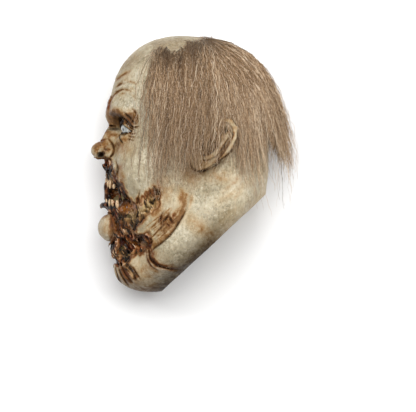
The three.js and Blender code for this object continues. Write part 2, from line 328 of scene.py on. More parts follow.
for x0, y0 in ((107.4, 104.6), (106.9, 108.6), (108.8, 101), (110.4, 97.6), (109, 107)):     # scabs over the brow
    crease([(x0, y0), (x0 + 0.7, y0 - 1.2)], 1.2, 1.0, stain_and_shade=0.5, dark=0.35, red=1.0, spread=1.5, ends=0.1)
crease([(128, 76), (133, 77), (137, 81)], 1.0, -0.3, stain_and_shade=0.12)
# brow and the corner of the eye
crease([(108, 116), (112, 112), (117, 110), (123, 110.5)], 1.6, 0.9)
crease([(124.5, 113), (128, 116), (131, 119), (133.5, 122.5), (137.5, 125.5)], 0.8, -1.8, stain_and_shade=0.95, dark=0.75, ends=0.2)
crease([(123.5, 117), (126.5, 120.5), (130, 124), (133.5, 127.8), (139.5, 127.5)], 0.8, -2.0, stain_and_shade=0.95, dark=0.9, ends=0.2)
crease([(125.5, 122), (128.5, 125.5), (131.5, 128.8), (135.5, 130.8)], 0.7, -1.5, stain_and_shade=0.9, dark=0.9, ends=0.2)
crease([(126.5, 117.5), (129.5, 121), (132.5, 124.5), (135.5, 127)], 0.8, 1.3, red=0.2)
crease([(127.5, 114), (131, 117), (134, 120.5), (136, 124)], 0.8, 1.1)
crease([(125.5, 120), (128.5, 123.5), (131.5, 126.7)], 0.7, 1.0, red=0.4)
blot(130, 119, 9, 9, 35, 'stain_and_shade', 0.95, 0.8)
crease([(132, 109.5), (135.5, 113), (137.5, 118), (137.8, 123), (136.5, 126.5)], 0.9, -1.3, stain_and_shade=0.85, dark=0.4)
crease([(133, 112.5), (135.5, 116.5), (136, 121)], 0.8, 1.1)
crease([(135.5, 108.5), (139.5, 114), (140.5, 121), (139.5, 126)], 1.2, 0.9)
crease([(121.5, 135), (125.5, 135.3), (129.5, 133.2), (134, 131.2)], 0.8, -1.3, stain_and_shade=0.9, dark=0.95)
crease([(129, 133.7), (133.5, 134.8), (137.5, 134)], 0.7, -1.0, stain_and_shade=0.7, red=0.5, dark=0.5)
crease([(129.5, 136.5), (133, 138.2), (136.5, 137.8)], 0.8, -1.1, stain_and_shade=0.8, dark=0.6)
crease([(128.8, 139.8), (131.8, 141.3), (135, 141.3)], 0.8, -1.0, stain_and_shade=0.7, dark=0.7)
crease([(120.3, 134.5), (120.6, 138), (121.8, 141.3), (123.6, 143.6)], 0.9, -0.7, stain_and_shade=0.5, dark=1.0, spread=1.5, ends=0.1)
crease([(108, 129), (112, 127.8), (117, 128.5)], 0.8, 1.0)
crease([(110, 131.8), (114, 130.8), (118, 131.5)], 0.7, 0.9)
crease([(108, 130.6), (113, 129.6), (118, 130.2)], 0.7, -1.0, stain_and_shade=0.7, dark=0.6)
crease([(106.5, 126.8), (111, 126), (116, 126.6)], 0.8, -1.2, stain_and_shade=0.9, dark=0.8)
crease([(107, 127.8), (112, 126.6), (117, 127), (121, 128)], 1.0, -1.0, stain_and_shade=0.8, dark=0.6)
crease([(106, 131), (110, 133.5), (114, 133)], 1.0, -0.6, stain_and_shade=0.6, red=0.3)
# nose
crease([(107, 138.5), (110, 140.5), (112.8, 144.5), (114.2, 149.5), (113.6, 154.5), (110.5, 158.5)], 0.85, -1.7, stain_and_shade=0.9, dark=0.38, ends=0.15)
crease([(113.2, 152.5), (112.2, 156), (109.5, 158.5)], 0.9, -1.2, stain_and_shade=0.9, dark=0.8)
crease([(105.5, 141), (108.5, 142.5), (110.8, 146.5), (111.3, 151)], 1.2, 1.0)
crease([(98.5, 143.5), (102.5, 140.5), (107, 139)], 0.8, -0.8, stain_and_shade=0.8, dark=0.3, red=0.4)
crease([(99.5, 151), (103, 149), (107, 150), (109.5, 153.5)], 0.9, -0.9, stain_and_shade=0.7, dark=0.45)
crease([(103, 134.5), (107, 133), (111, 134), (114, 137)], 0.9, -0.7, stain_and_shade=0.7, dark=0.15)
crease([(104, 131.5), (107.5, 131.5)], 0.8, -0.7, stain_and_shade=0.8, dark=0.3)
# cheek
# groove beside the cheek flange, its dark a painted shadow
crease([(116.4, 161), (118.2, 166), (118.6, 172), (118.4, 177)], 0.9, -1.4, stain_and_shade=0.8, dark=0.5)
crease([(141, 190), (139.8, 195), (138.6, 200), (137.4, 206)], 0.6, -2.0, stain_and_shade=0.6, dark=0.75, spread=1.8, ends=0.5)
crease([(112.8, 159.5), (114.8, 164), (115.2, 170)], 1.3, 1.5)
crease([(150, 193), (148, 198), (146, 203)], 0.8, -1.2, stain_and_shade=0.5, dark=0.4)
crease([(156, 188), (157, 196), (156, 203)], 0.9, -1.2, stain_and_shade=0.6, dark=0.5)
# jaw, neck roll and chins
ledge([(192, 189), (189.5, 200), (187, 208), (183.6, 216), (176.5, 228.5), (168, 238), (160, 245), (151, 251.5)],
      3.0, 4.2, 1.5, start=0.16, stain_and_shade=0.95, dark=0.7)
crease([(190.5, 191), (188.5, 199), (186.3, 207)], 0.9, 1.1)
crease([(187.5, 192), (185, 202), (181.5, 212), (177, 218)], 1.3, -0.9, stain_and_shade=0.75, dark=0.15, spread=2.6)
crease([(192.5, 194), (191, 202), (188, 210)], 1.0, -0.5, stain_and_shade=0.5, spread=2.4)
for k in range(7):                                        # drawn lines along the jowl
    x0, y0 = 182 - 2.2 * k - 1.5 * (k % 2), 205 + 3.4 * k
    crease([(x0, y0), (x0 - 4.5, y0 + 7.5), (x0 - 11 + k, y0 + 14.5 - 0.5 * k)], 0.75, -0.6, stain_and_shade=0.62, dark=0.16, spread=1.9)
blot(166, 228, 20, 9, 48, 'stain_and_shade', 0.42, 0.9)
for pts, wid, hgt, drk in (([(164.2, 212), (161.6, 215.5), (160.9, 219), (159, 223)], 0.9, -2.1, 0.9),
                           ([(170.4, 213), (167.6, 216.9), (165.1, 220), (161.8, 224.2)], 0.95, -2.6, 1.0),
                           ([(169.6, 215.4), (171, 219.4), (172.9, 223.6)], 0.9, -2.3, 1.0),
                           ([(166.8, 222.5), (168.9, 225.2), (170.6, 226.6)], 0.6, -1.2, 0.7),
                           ([(173.8, 213.5), (174.4, 217.5)], 0.6, -0.8, 0.2)):
    crease(pts, wid, hgt, stain_and_shade=1.0, dark=drk, red=0.4, spread=3.0, ends=0.5)
for pts in ([(166.6, 212.2), (164.2, 216), (162.6, 220), (160.9, 224)], [(168.6, 217.6), (168.6, 221), (169.6, 223.6)],
            [(171.8, 215.6), (173, 219.4), (175, 223)], [(163.6, 210.6), (161, 213.8)]):
    crease(pts, 0.75, 1.5, red=0.1)
runs = np.random.default_rng(9)
for k in range(15):                                       # fine brown runs along the jowl
    off = 2.2 + 1.05 * k + runs.normal(0, 0.3)
    a, b = runs.uniform(0.0, 0.35), runs.uniform(0.6, 1.0)
    q = [(184 - 33 * t - 0.68 * off + 1.6 * math.sin(3 * t + k), 214 + 38 * t - 0.74 * off - 5 * t * t) for t in np.linspace(a, b, 6)]
    crease(q, 0.55, -0.55, stain_and_shade=runs.uniform(0.5, 0.95), dark=runs.uniform(0, 0.3), spread=1.7, ends=0.4)
crease([(148.5, 245), (149.5, 251), (151.5, 258), (157, 264), (164, 267), (172, 268.5), (181, 268.5)], 1.15, -2.2,
       stain_and_shade=0.95, dark=1.0, red=0.6, spread=2.2, ends=0.3)
crease([(146.8, 247), (147.4, 253), (149, 259.5), (153, 266), (159, 269.6)], 0.7, -1.2, stain_and_shade=0.7, dark=0.7, red=0.5)
crease([(156, 259.5), (161, 263), (168, 264.6), (175, 264)], 0.6, -0.8, stain_and_shade=0.7, dark=0.35)
crease([(151, 247), (153, 252), (154.5, 256)], 0.8, -1.0, stain_and_shade=0.6, dark=0.5, red=0.8)
crease([(158.8, 179), (159.4, 184), (158.6, 190), (158, 194)], 0.8, -0.6, stain_and_shade=0.5, red=0.5)
crease([(151, 249), (152.4, 256), (157, 262), (165, 265.6), (175, 267)], 1.8, -0.5, stain_and_shade=1.0, dark=0.72, red=0.5, spread=1.5)
crease([(152.5, 251), (154.5, 257), (160, 262.5), (168, 265)], 0.7, 0.7, stain_and_shade=0.6)
crease([(146.5, 250), (148, 257), (152, 264), (160, 269)], 0.9, 0.8, stain_and_shade=0.4)
crease([(125, 262), (129, 268), (134.5, 275), (137, 281)], 1.2, -2.4, stain_and_shade=1.0, dark=0.95, red=0.4)
crease([(121.5, 262), (124, 270), (128.5, 277), (134, 283)], 1.0, -2.1, stain_and_shade=1.0, dark=0.85, red=0.2)
crease([(118.5, 263), (120.5, 271), (124.5, 279), (130, 286)], 0.9, -1.7, stain_and_shade=1.0, dark=0.75)
crease([(130, 264), (135, 270), (140, 277.5)], 1.1, -1.9, stain_and_shade=0.95, dark=0.85, red=0.3)
crease([(115.5, 265), (117, 273), (120.5, 281), (125, 287)], 0.8, -1.3, stain_and_shade=0.9, dark=0.6)
crease([(123, 262), (126.5, 268), (131.5, 276), (135, 282)], 0.9, 1.2, red=0.5)
crease([(127.5, 264), (132, 270), (137.5, 277)], 0.9, 1.1, red=0.5)
crease([(120, 263), (122.2, 271), (126.5, 279)], 0.9, 0.9)
crease([(111.5, 246.4), (114.5, 248.6), (118, 249)], 1.2, -1.2, dark=0.6, red=0.6)
crease([(99, 217), (104, 213.5), (110, 215)], 1.3, -0.9, stain_and_shade=0.6, dark=0.2)
crease([(110, 216), (112.5, 226), (112, 238), (108, 243)], 1.5, -1.6, stain_and_shade=0.8, dark=0.3, red=0.3)
# nape
crease([(238, 205), (228, 214), (216, 226), (205, 237)], 1.6, -0.6, stain_and_shade=0.15)
crease([(250, 180), (240, 188), (228, 196), (216, 205)], 2.0, -0.7, stain_and_shade=0.25)
crease([(262, 172), (254, 178), (246, 190)], 2.0, -0.5, stain_and_shade=0.15)
# soft stains, and dark blots of painted shade where marked
blot(118, 118.5, 13.5, 10, -20, 'stain_and_shade', 1.0, 0.7)
# painted shade: black in the deep inner corner of the eye under the brow, with black liner at the lid
blot(122.4, 120.6, 2.6, 4.4, 8, 'dark', 1.0, 0.5)
blot(121.6, 122.5, 3.0, 7.0, 8, 'dark', 1.0, 0.6)
blot(114.5, 129.2, 8.5, 2.4, 3, 'dark', 0.85, 0.75)
# painted shade spreading from the eye's inner corner
blot(119.5, 122.5, 4, 4, 0, 'dark', 0.35, 0.9)
blot(130, 120, 9, 8, 30, 'stain_and_shade', 0.7, 0.8)
blot(120, 144, 15, 15, 20, 'stain_and_shade', 0.54, 0.95)
blot(104, 146, 12, 9, 0, 'stain_and_shade', 0.6, 0.9)
blot(97, 147, 9, 9, 0, 'stain_and_shade', 0.62, 0.9)
blot(103, 136, 7, 6, 0, 'stain_and_shade', 0.55, 0.9)
pits = np.random.default_rng(5)
for k in range(26):                                       # pits and scratches over the nose
    x0, y0 = 101 + pits.normal(0, 5.2), 147 + pits.normal(0, 4.6)
    dx, dy = pits.normal(0, 0.9), pits.normal(0, 0.9)
    crease([(x0, y0), (x0 + dx, y0 + dy)], pits.uniform(0.45, 0.9), pits.uniform(-1.2, -0.4), stain_and_shade=0.95, dark=pits.uniform(0, 0.35),
           red=pits.uniform(0, 0.5), spread=1.6, ends=0.1)
blot(106, 228, 9, 15, 0, 'stain_and_shade', 0.36, 0.9)
blot(105, 216.5, 5, 3.4, 20, 'stain_and_shade', 0.6, 0.9)
blot(106, 105, 2.6, 8, 12, 'red', 0.9, 0.7)
blot(110, 134, 9, 5, 0, 'stain_and_shade', 0.8, 0.7)
# painted shade: near-black in the nostril and under the nose's tip
blot(101.4, 155.2, 5.4, 3.6, 34, 'dark', 0.95, 0.6)
blot(106, 158.6, 5, 2.2, 10, 'dark', 0.7, 0.8)
# painted shadow beside the cheek flange
blot(117.8, 170, 1.7, 6.5, -6, 'dark', 0.75, 0.7)
blot(122.2, 167, 2.2, 4, 0, 'red', 0.5, 0.9)
blot(112, 222, 2.4, 16, 0, 'stain_and_shade', 0.9, 0.8)
blot(117, 252, 9, 11, 0, 'stain_and_shade', 0.9, 0.8)
blot(165, 222, 13, 11, 45, 'stain_and_shade', 0.42, 0.9)
blot(121, 175, 6, 14, 10, 'stain_and_shade', 0.42, 0.95)
blot(123, 184, 3, 7, 10, 'red', 0.3, 0.9)
blot(128, 130, 11, 8, 0, 'stain_and_shade', 0.45, 0.9)
blot(172, 224, 16, 7, 48, 'stain_and_shade', 0.6, 0.8)
blot(168, 232, 12, 5, 45, 'stain_and_shade', 0.55, 0.8)
blot(156, 208, 9, 11, 0, 'stain_and_shade', 0.65, 0.7)
blot(107, 217, 6, 4, 0, 'stain_and_shade', 0.3, 0.8)
blot(111, 230, 4, 10, 0, 'stain_and_shade', 0.75, 0.8)
blot(128, 266, 10, 8, -40, 'stain_and_shade', 0.45, 0.9)
blot(150, 252, 10, 8, 0, 'stain_and_shade', 0.5, 0.8)
blot(192, 175, 14, 12, 0, 'stain_and_shade', 0.35, 0.9)
blot(206, 170, 16, 9, 0, 'stain_and_shade', 0.4, 0.9)
blot(183, 200, 6, 14, 10, 'stain_and_shade', 0.5, 0.9)
blot(166, 190, 10, 16, 0, 'stain_and_shade', 0.35, 0.9)
crease([(243, 171), (236, 180), (228, 188), (221, 194)], 1.2, -0.5, stain_and_shade=0.3, red=0.08, spread=2.6)
crease([(246, 184), (240, 192), (233, 200)], 1.2, -0.5, stain_and_shade=0.26, spread=2.6)
blot(172, 42, 50, 9, 0, 'stain_and_shade', 0.14, 0.9)
blot(185, 43, 42, 9, 0, 'dark', 0.24, 0.9)
blot(125, 62, 20, 14, 40, 'stain_and_shade', 0.25, 0.95)
blot(124, 78, 12, 8, 35, 'stain_and_shade', 0.28, 0.9)
blot(130, 64, 19, 9, 32, 'dark', 0.18, 0.95)
blot(205, 182, 20, 9, -8, 'dark', 0.12, 0.95)
blot(262, 172, 9, 22, 5, 'stain_and_shade', 0.24, 0.95)
# round the ear: dark in its hollows, and a painted shadow under the lobe and along its back edge
crease([(190.6, 156), (190.4, 163), (193, 168.6), (198, 171.6), (204, 171.2), (210, 168)], 1.0, -0.8, stain_and_shade=0.9, dark=0.95, spread=1.8, ends=0.2)
crease([(200.4, 158.6), (204, 161.2), (210, 160.8)], 0.7, -0.6, stain_and_shade=0.8, dark=0.9, spread=1.6, ends=0.2)
crease([(237.4, 133), (237.2, 139), (234.6, 146.5), (228.6, 154.4), (220, 160.4), (212, 164.6)], 0.9, -0.6, stain_and_shade=0.8, dark=0.85, spread=1.7, ends=0.2)
blot(225, 131.5, 3.6, 5.6, -24, 'dark', 0.85, 0.8)
blot(207, 146, 3.2, 12, 8, 'dark', 0.8, 0.8)
blot(200.5, 163, 10.5, 9.5, 0, 'stain_and_shade', 0.5, 0.8)
blot(200.5, 163, 10.5, 9.5, 0, 'dark', 0.38, 0.8)
blot(218, 145, 18, 25, 20, 'stain_and_shade', 0.3, 0.9)
blot(218, 145, 18, 25, 20, 'dark', 0.12, 0.9)
blot(214, 176, 26, 9, -8, 'stain_and_shade', 0.3, 0.95)
blot(120, 92, 9, 10, 20, 'stain_and_shade', 0.2, 0.9)
# painted shade under the double chin and along the lower edge of the neck roll, near-black and brown
blot(154, 293, 44, 17, 0, 'dark', 0.5, 0.95)
blot(150, 290, 40, 14, 0, 'stain_and_shade', 0.5, 0.95)
blot(186, 276, 34, 9, -41, 'dark', 0.62, 0.95)
blot(152, 268, 26, 16, -10, 'stain_and_shade', 0.34, 0.95)
blot(214, 240, 50, 9, -41, 'stain_and_shade', 0.4, 0.95)
blot(127, 273, 9, 13, 24, 'stain_and_shade', 0.85, 0.7)
blot(127, 271, 6.5, 10, 24, 'red', 0.6, 0.8)
blot(125, 268, 5, 6, 24, 'dark', 0.35, 0.8)
blot(140, 275, 22, 12, 0, 'stain_and_shade', 0.4, 0.9)
blot(135, 45, 12, 9, 30, 'stain_and_shade', 0.2, 0.9)


# ---- the ear -------------------------------------------------------------
EAR_AT = np.array([30.0, 2.5, 79.0])
EAR_TILT, EAR_FLARE = -33.0, 20.0


def ear_frame():
    a, b = math.radians(EAR_TILT), math.radians(-EAR_FLARE)
    Rz = np.array([[math.cos(a), -math.sin(a), 0], [math.sin(a), math.cos(a), 0], [0, 0, 1]])
    Ry = np.array([[math.cos(b), 0, math.sin(b)], [0, 1, 0], [-math.sin(b), 0, math.cos(b)]])
    return Rz @ Ry        # local -> head


EAR_M = ear_frame()
# helix, antihelix and the roots of the ear, as tubes (x back, y up, z out, r)
EAR_TUBES = [
    [(-5, -6, 3, 2.0), (-9, 2, 3.5, 2.2), (-14, 12, 3.5, 2.4), (-15, 23, 4.0, 2.6), (-9, 33, 4.5, 2.8),
     (2, 37, 5.0, 3.0), (12, 33, 5.5, 3.0), (18, 23, 6.0, 2.8), (20, 10, 5.5, 2.5), (18, -3, 4.5, 2.0),
     (13, -15, 3.5, 1.7), (7, -25, 3.0, 2.2), (0, -32, 3.0, 3.0)],
    [(-3, -19, 4, 3.0), (4, -14, 5.5, 3.0), (9, -5, 6.5, 3.0), (10, 6, 6.5, 3.0), (5, 17, 6.0, 2.8), (-2, 26, 5.5, 2.4)],
    [(10, 6, 6.5, 2.8), (9, 16, 6.0, 2.6), (7, 26, 5.5, 2.2)],
]


def ear(Q):
    """distance to the ear on the left side; Q is mirrored already"""
    X = (Q - EAR_AT.astype(f32)) @ EAR_M.astype(f32)
    d = ellipsoid(X, (1, 4, -1.5), (19.5, 33, 4.2))
    d = smin(d, ellipsoid(X, (-8, -24, 0.5), (14.5, 14.5, 6.0)), 5)
    d = smin(d, ellipsoid(X, (-14, -8, 2.5), (5.5, 8.5, 6.5)), 4)          # tragus
    d = smin(d, ellipsoid(X, (-6, 0, -9), (15, 24, 9)), 6)                  # root in the head
    d = smax(d, -ellipsoid(X, (-4, -4, 5.5), (8.5, 12.5, 9.5)), 3)          # bowl
    d = smax(d, -ellipsoid(X, (-5, 14, 6.5), (6.5, 8.5, 7.0)), 3)
    d = smax(d, -ellipsoid(X, (14.5, 8, 6.5), (2.6, 20, 5.5)), 2)
    d = smax(d, -ellipsoid(X, (2, 28, 7.5), (8, 3.4, 5.0)), 2)
    for tube in EAR_TUBES:
        for a, b in zip(tube, tube[1:]):
            d = smin(d, capsule(X, a[:3], b[:3], a[3], b[3]), 1.6)
    return d


def lids(Q, r_lid=15.4):
    X = Q - EYE.astype(f32)
    r = np.sqrt((X * X).sum(-1))
    a = np.degrees(np.arctan2(X[:, 2], -X[:, 0]))
    opening = eye_gap(X, a)
    fold = 0.55 * np.sin(np.clip(opening, 0, 9) * 1.25)
    shell = r - r_lid - fold
    d = smax(shell, -opening, 1.0)
    return np.maximum(d, X[:, 0] - 3.0), r


FLESH_TURN = turn(28)


def flesh_relief(P):
    """strands, lumps and pits of the torn flesh, millimetres, about -3 to 3"""
    W = np.stack([noise(P, 10, 50), noise(P, 10, 51), noise(P, 10, 52)], 1) * f32(3.0)
    X = (P + W) @ FLESH_TURN.T.astype(f32)
    a = 1 - 2.2 * np.abs(noise(X, (3.6, 11, 5.0), 53))
    b = 1 - 2.2 * np.abs(noise(X, (2.6, 6.0, 3.4), 54))
    c = noise(P, 7.5, 55)
    e = noise(P, 2.0, 56)
    pad = 2.6 * np.exp(-((P[:, 0] + 55) ** 2 + (P[:, 1] + 71) ** 2) / 60.0)
    return np.minimum(1.25 * a + 0.75 * b + 1.5 * c + 0.4 * e - 0.3 + pad, 3.0)


def tear_fields(P):
    """distances, in the side elevation, to the torn regions, with ragged edges"""
    u, v = warp(P)
    spiky = np.exp(-((u + 48) / 16) ** 2 - ((v + 60) / 12) ** 2)
    n = (noise(P, 5.0, 5) * 1.9 + noise(P, 2.2, 6) * 1.1) * (1 - 0.75 * spiky)
    fs = np.minimum(sample(FLESH, u, v) + n, 40)
    ts = np.minimum(sample(SPLIT, u, v) + n * 0.8, 40)
    fs = fs + 5 * step(3.5, -1.5, ellipsoid(P, (-95, -97, 0), (20, 18.5, 25)))
    return u, v, fs, ts


NOSTRIL = ((-108.4, -9.4, 12.6), (8.8, 5.4, 7.2), turn(-34))


def eye_gap(X, a):
    """how far outside the opening between the lids, by azimuth a in degrees"""
    top = np.interp(a, [-48, -40, -20, 0, 20, 36, 52, 66, 80, 88], [-2, -1.6, -0.6, 0.6, 2.8, 4.0, 1.8, -0.8, -3.4, -4.6])
    low = np.interp(a, [-48, -40, -20, 0, 20, 36, 52, 66, 80, 88], [-2, -3.4, -5.8, -7.1, -7.3, -6.7, -6.0, -5.2, -4.3, -4.2])
    gap = np.maximum(X[:, 1] - top, low - X[:, 1])
    return np.maximum(gap, np.maximum(a - 88, -48 - a) * 0.27)


PRESS_SOFT = 4.0


def warp(P):
    """side position of each point, a little wandering, different left and right"""
    side = np.where(P[:, 2] < 0, f32(1), f32(0))
    n1 = noise(P, 11, 1)
    n2 = noise(P, 11, 2)
    big1 = noise(P, 42, 3)
    big2 = noise(P, 42, 4)
    u = P[:, 0] + 0.7 * n1 + side * 5 * big1
    v = P[:, 1] + 0.7 * n2 + side * 5 * big2
    return u, v


class Form:
    def __init__(self):
        self.m = [(s, b, np.asarray(c, f32), np.asarray(r, f32), turn(t) if t else None, k) for s, b, c, r, t, k in MASSES]
        self.l = [(s, np.asarray(c, f32), np.asarray(r, f32), turn(t) if t else None, k) for s, c, r, t, k in LIPS]

    def masses(self, P, centre=None, half=0.0):
        Q = P.copy()
        Q[:, 2] = np.abs(Q[:, 2])
        cq = None if centre is None else np.array([centre[0], centre[1], abs(centre[2])])
        d = None
        for s, b, c, r, M, k in self.m:
            if cq is not None:
                gap = np.linalg.norm((cq if b else centre) - c) - r.max() - half
                if gap > k + 5:
                    continue
            e = ellipsoid(Q if b else P, c, r, M)
            if d is None:
                d = e if s > 0 else np.full(len(P), 1e3, f32)
            elif s > 0:
                d = smin(d, e, k)
            else:
                d = smax(d, -e, k)
        if d is None:
            d = np.full(len(P), 50.0, f32)
        return d

    def __call__(self, P, centre=None, half=0.0, parts=False):
        """the whole shell: outside with its small forms, less the inside"""
        near = (lambda c, r: True) if centre is None else (
            lambda c, r: np.linalg.norm(np.array([centre[0], centre[1], abs(centre[2])]) - c) - r - half < 8)
        Q = P.copy()
        Q[:, 2] = np.abs(Q[:, 2])
        dm = self.masses(P, centre, half)
        d = dm.copy()
        for s, c, r, M, k in self.l:
            if not near(c, r.max()):
                continue
            e = ellipsoid(Q, c, r, M)
            if s:
                e = np.where(P[:, 2] * s > 0, e, f32(60))
            d = smin(d, e, k)
        ball = None
        if near(EYE, 22):
            lid, ball = lids(Q)
            d = smin(d, lid, 3.0)
        thick = f32(0.0)
        pit = None
        if near((-60, -20, 30), 150):
            front = 1 - step(60, 110, P[:, 0])
            if near((-85, -60, 20), 85):
                u, v, fs, ts = tear_fields(P)
            else:
                (u, v), fs = warp(P), None
            h = sample(MAPS['height'], u, v) * front
            h = h + (0.34 * noise(P, (5, 9, 5), 31) + 0.22 * noise(P, 2.8, 32)) * step(60, -10, P[:, 0])
            d = d - h
            thick = np.clip(-h - 0.4, 0, 9)
            if fs is not None:
                deep = step(-1.6, 1.0, -fs)
                shallow = step(-1.0, 1.0, -ts)
                jaws = step(-86, -96, P[:, 0]) * step(34, 26, np.abs(P[:, 1] + 51)) * step(30, 20, np.abs(P[:, 2]))
                relief = flesh_relief(P)
                d = d + deep * (2.6 * (1 - 0.6 * jaws) - 1.1 * relief * (1 - 0.3 * jaws)) + shallow * (1.0 - 0.6 * relief)
                # the skin curls up at the torn edge
                d = d - 1.3 * np.exp(-((fs - 1.9) / 1.4) ** 2)
                thick = thick + 6.0 * step(-7, 0, -fs) + 3 * shallow
                ragged = noise(P, 6, 12) * 1.5 + noise(P, 2.8, 13) * 0.8
                hole = ellipsoid(P, (-90, -56, 15.5), (42, 8.2, 25.5)) + ragged
                bridge = capsule(P, (-103.5, -44, 11), (-102.5, -66, 8), 3.9, 3.5)
                bridge = np.minimum(bridge, capsule(P, (-101, -45, -14), (-103, -65, -9), 2.2, 2.8))
                bridge = np.minimum(bridge, capsule(P, (-87.5, -44, 30), (-86, -66, 29.5), 1.2, 1.5))
                bridge = np.minimum(bridge, capsule(P, (-84, -44, 31), (-77, -60, 33.5), 1.4, 1.6))
                bridge = bridge + 0.8 * noise(P, 3.0, 14)
                d = smin(d, bridge, 1.5)
                hole = np.maximum(hole, 0.6 - bridge)
                d = np.maximum(d, -hole)
                # pits in the flesh
                for c, r in (((-75, -83, 36), (4.2, 3.4, 8)), ((-64, -110, 40), (3.2, 3.0, 8)), ((-88, -104, 26), (3, 5, 7)),
                             ((-72, -62, 38), (4, 6, 7)), ((-84, -122, 26), (3.4, 3, 7)), ((-99, -27, 14), (4.2, 3.6, 6)),
                             ((-101, -27, -10), (4.0, 4, 6)), ((-56, -112, 46), (5, 2.2, 6))):
                    if near(c, 8):
                        d = smax(d, -(ellipsoid(P, c, r) + 0.5 * noise(P, 3, 15)), 1.0)
        if near((-110, -6, 10), 14):
            pit = ellipsoid(Q, *NOSTRIL)
            d = smax(d, -pit, 1.2)
        if near(EAR_AT, 48):
            left = P[:, 2] > 0
            E = Q.copy()
            E[:, 2] = np.where(left, Q[:, 2], np.where(Q[:, 2] > 71, 71 + (Q[:, 2] - 71) * 3.4, Q[:, 2]))
            e = ear(E)
            e = np.where(left, e, e / 2.4)
            d = smin(d, e, 3.0)
        inner = dm + WALL + thick
        if pit is not None:
            inner = np.maximum(inner, WALL * 0.7 - pit)
        d = smax(d, -(P[:, 2] + REST_W - 0.1), PRESS_SOFT)
        inner = smax(inner, -(P[:, 2] + REST_W - WALL * 0.9), PRESS_SOFT)
        if parts:
            return d, inner
        out = np.maximum(d, -inner)
        if ball is not None:
            out = np.maximum(out, EYE_R + 0.35 - ball)
        rim = (P[:, 0] - RIM_AT[0]) * RIM_OUT[0] + (P[:, 1] - RIM_AT[1]) * RIM_OUT[1]
        return smax(out, rim + 0.5 * noise(P, 30, 20), 0.8)


# ---- surface nets --------------------------------------------------------
def axis(spans):
    """grid places with a step for each span: [(from, to, step), ...], a multiple of 8 cells"""
    g = [spans[0][0]]
    for a, b, h in spans:
        n = max(1, int(round((b - g[-1]) / h)))
        g += list(g[-1] + (b - g[-1]) * (np.arange(n) + 1) / n)
    while (len(g) - 1) % 8:
        g.append(g[-1] + spans[-1][2])
    return np.array(g)


def lattice(form, axes, blk=8):
    """distances on a graded grid, worked out only in blocks near the surface"""
    nb = [(len(g) - 1) // blk for g in axes]
    ends = [g[::blk] for g in axes]
    ax = [(e[:-1] + e[1:]) / 2 for e in ends]
    size = [np.diff(e) for e in ends]
    C = np.stack(np.meshgrid(*ax, indexing='ij'), -1).reshape(-1, 3).astype(f32)
    W = np.stack(np.meshgrid(*size, indexing='ij'), -1).reshape(-1, 3)
    half = np.linalg.norm(W, axis=1) / 2
    dc = np.concatenate([form(C[i:i + 60000]) for i in range(0, len(C), 60000)])
    near = np.abs(dc) < half * 1.25 + 4.0
    D = np.repeat(np.repeat(np.repeat(dc.reshape(nb).astype(f32), blk, 0), blk, 1), blk, 2)
    D = np.pad(D, ((0, 1),) * 3, mode='edge')
    B = np.argwhere(near.reshape(nb))
    off = np.stack(np.meshgrid(*[np.arange(blk + 1)] * 3, indexing='ij'), -1).reshape(-1, 3)
    G = 4                                                   # blocks to a group
    key = (B[:, 0] // G) * 10000 + (B[:, 1] // G) * 100 + B[:, 2] // G
    order = np.argsort(key, kind='stable')
    B, key = B[order], key[order]
    cuts = np.concatenate([[0], np.nonzero(np.diff(key))[0] + 1, [len(B)]])
    for a, b in zip(cuts[:-1], cuts[1:]):
        g = (B[a:b, None, :] * blk + off[None]).reshape(-1, 3)
        X = np.stack([axes[q][g[:, q]] for q in range(3)], 1).astype(f32)
        lo, hi = X.min(0), X.max(0)
        D[g[:, 0], g[:, 1], g[:, 2]] = form(X, (lo + hi) / 2, float(np.linalg.norm(hi - lo)) / 2)
    return D


def surface_nets(D, axes):
    s = D < 0
    nx, ny, nz = D.shape
    cnt = np.zeros((nx - 1, ny - 1, nz - 1), np.uint8)
    for q in range(8):
        cnt += s[(q & 1):nx - 1 + (q & 1), ((q >> 1) & 1):ny - 1 + ((q >> 1) & 1), ((q >> 2) & 1):nz - 1 + ((q >> 2) & 1)]
    I, J, K = np.nonzero((cnt > 0) & (cnt < 8))
    idx = np.full(cnt.shape, -1, np.int32)
    idx[I, J, K] = np.arange(len(I))
    V = [D[I + (q & 1), J + ((q >> 1) & 1), K + ((q >> 2) & 1)] for q in range(8)]
    acc = np.zeros((len(I), 3), f32)
    num = np.zeros(len(I), f32)
    for a, b in [(0, 1), (2, 3), (4, 5), (6, 7), (0, 2), (1, 3), (4, 6), (5, 7), (0, 4), (1, 5), (2, 6), (3, 7)]:
        va, vb = V[a], V[b]
        m = (va < 0) != (vb < 0)
        t = np.where(m, va / np.where(m, va - vb, 1), 0)
        pa = np.array([a & 1, (a >> 1) & 1, (a >> 2) & 1], f32)
        pb = np.array([b & 1, (b >> 1) & 1, (b >> 2) & 1], f32)
        acc += m[:, None] * (pa + (pb - pa) * t[:, None])
        num += m
    F = acc / num[:, None]
    cell = (I, J, K)
    P = np.stack([axes[q][cell[q]] + F[:, q] * (axes[q][cell[q] + 1] - axes[q][cell[q]]) for q in range(3)], 1)
    quads = []
    for ax in range(3):
        a = s[tuple(slice(0, -1) if q == ax else slice(1, -1) for q in range(3))]
        b = s[tuple(slice(1, None) if q == ax else slice(1, -1) for q in range(3))]
        m = a != b
        E = np.stack(np.nonzero(m), 1)
        for q in range(3):
            if q != ax:
                E[:, q] += 1
        o1, o2 = [q for q in range(3) if q != ax]
        c = []
        for d1, d2 in ((1, 1), (0, 1), (0, 0), (1, 0)):
            F = E.copy()
            F[:, o1] -= d1
            F[:, o2] -= d2
            c.append(idx[F[:, 0], F[:, 1], F[:, 2]])
        q4 = np.stack(c, 1)
        flip = a[m] if ax != 1 else ~a[m]
        quads.append(np.where(flip[:, None], q4, q4[:, ::-1]))
    return P.astype(f32), np.concatenate(quads)
# ==== END FORM ====


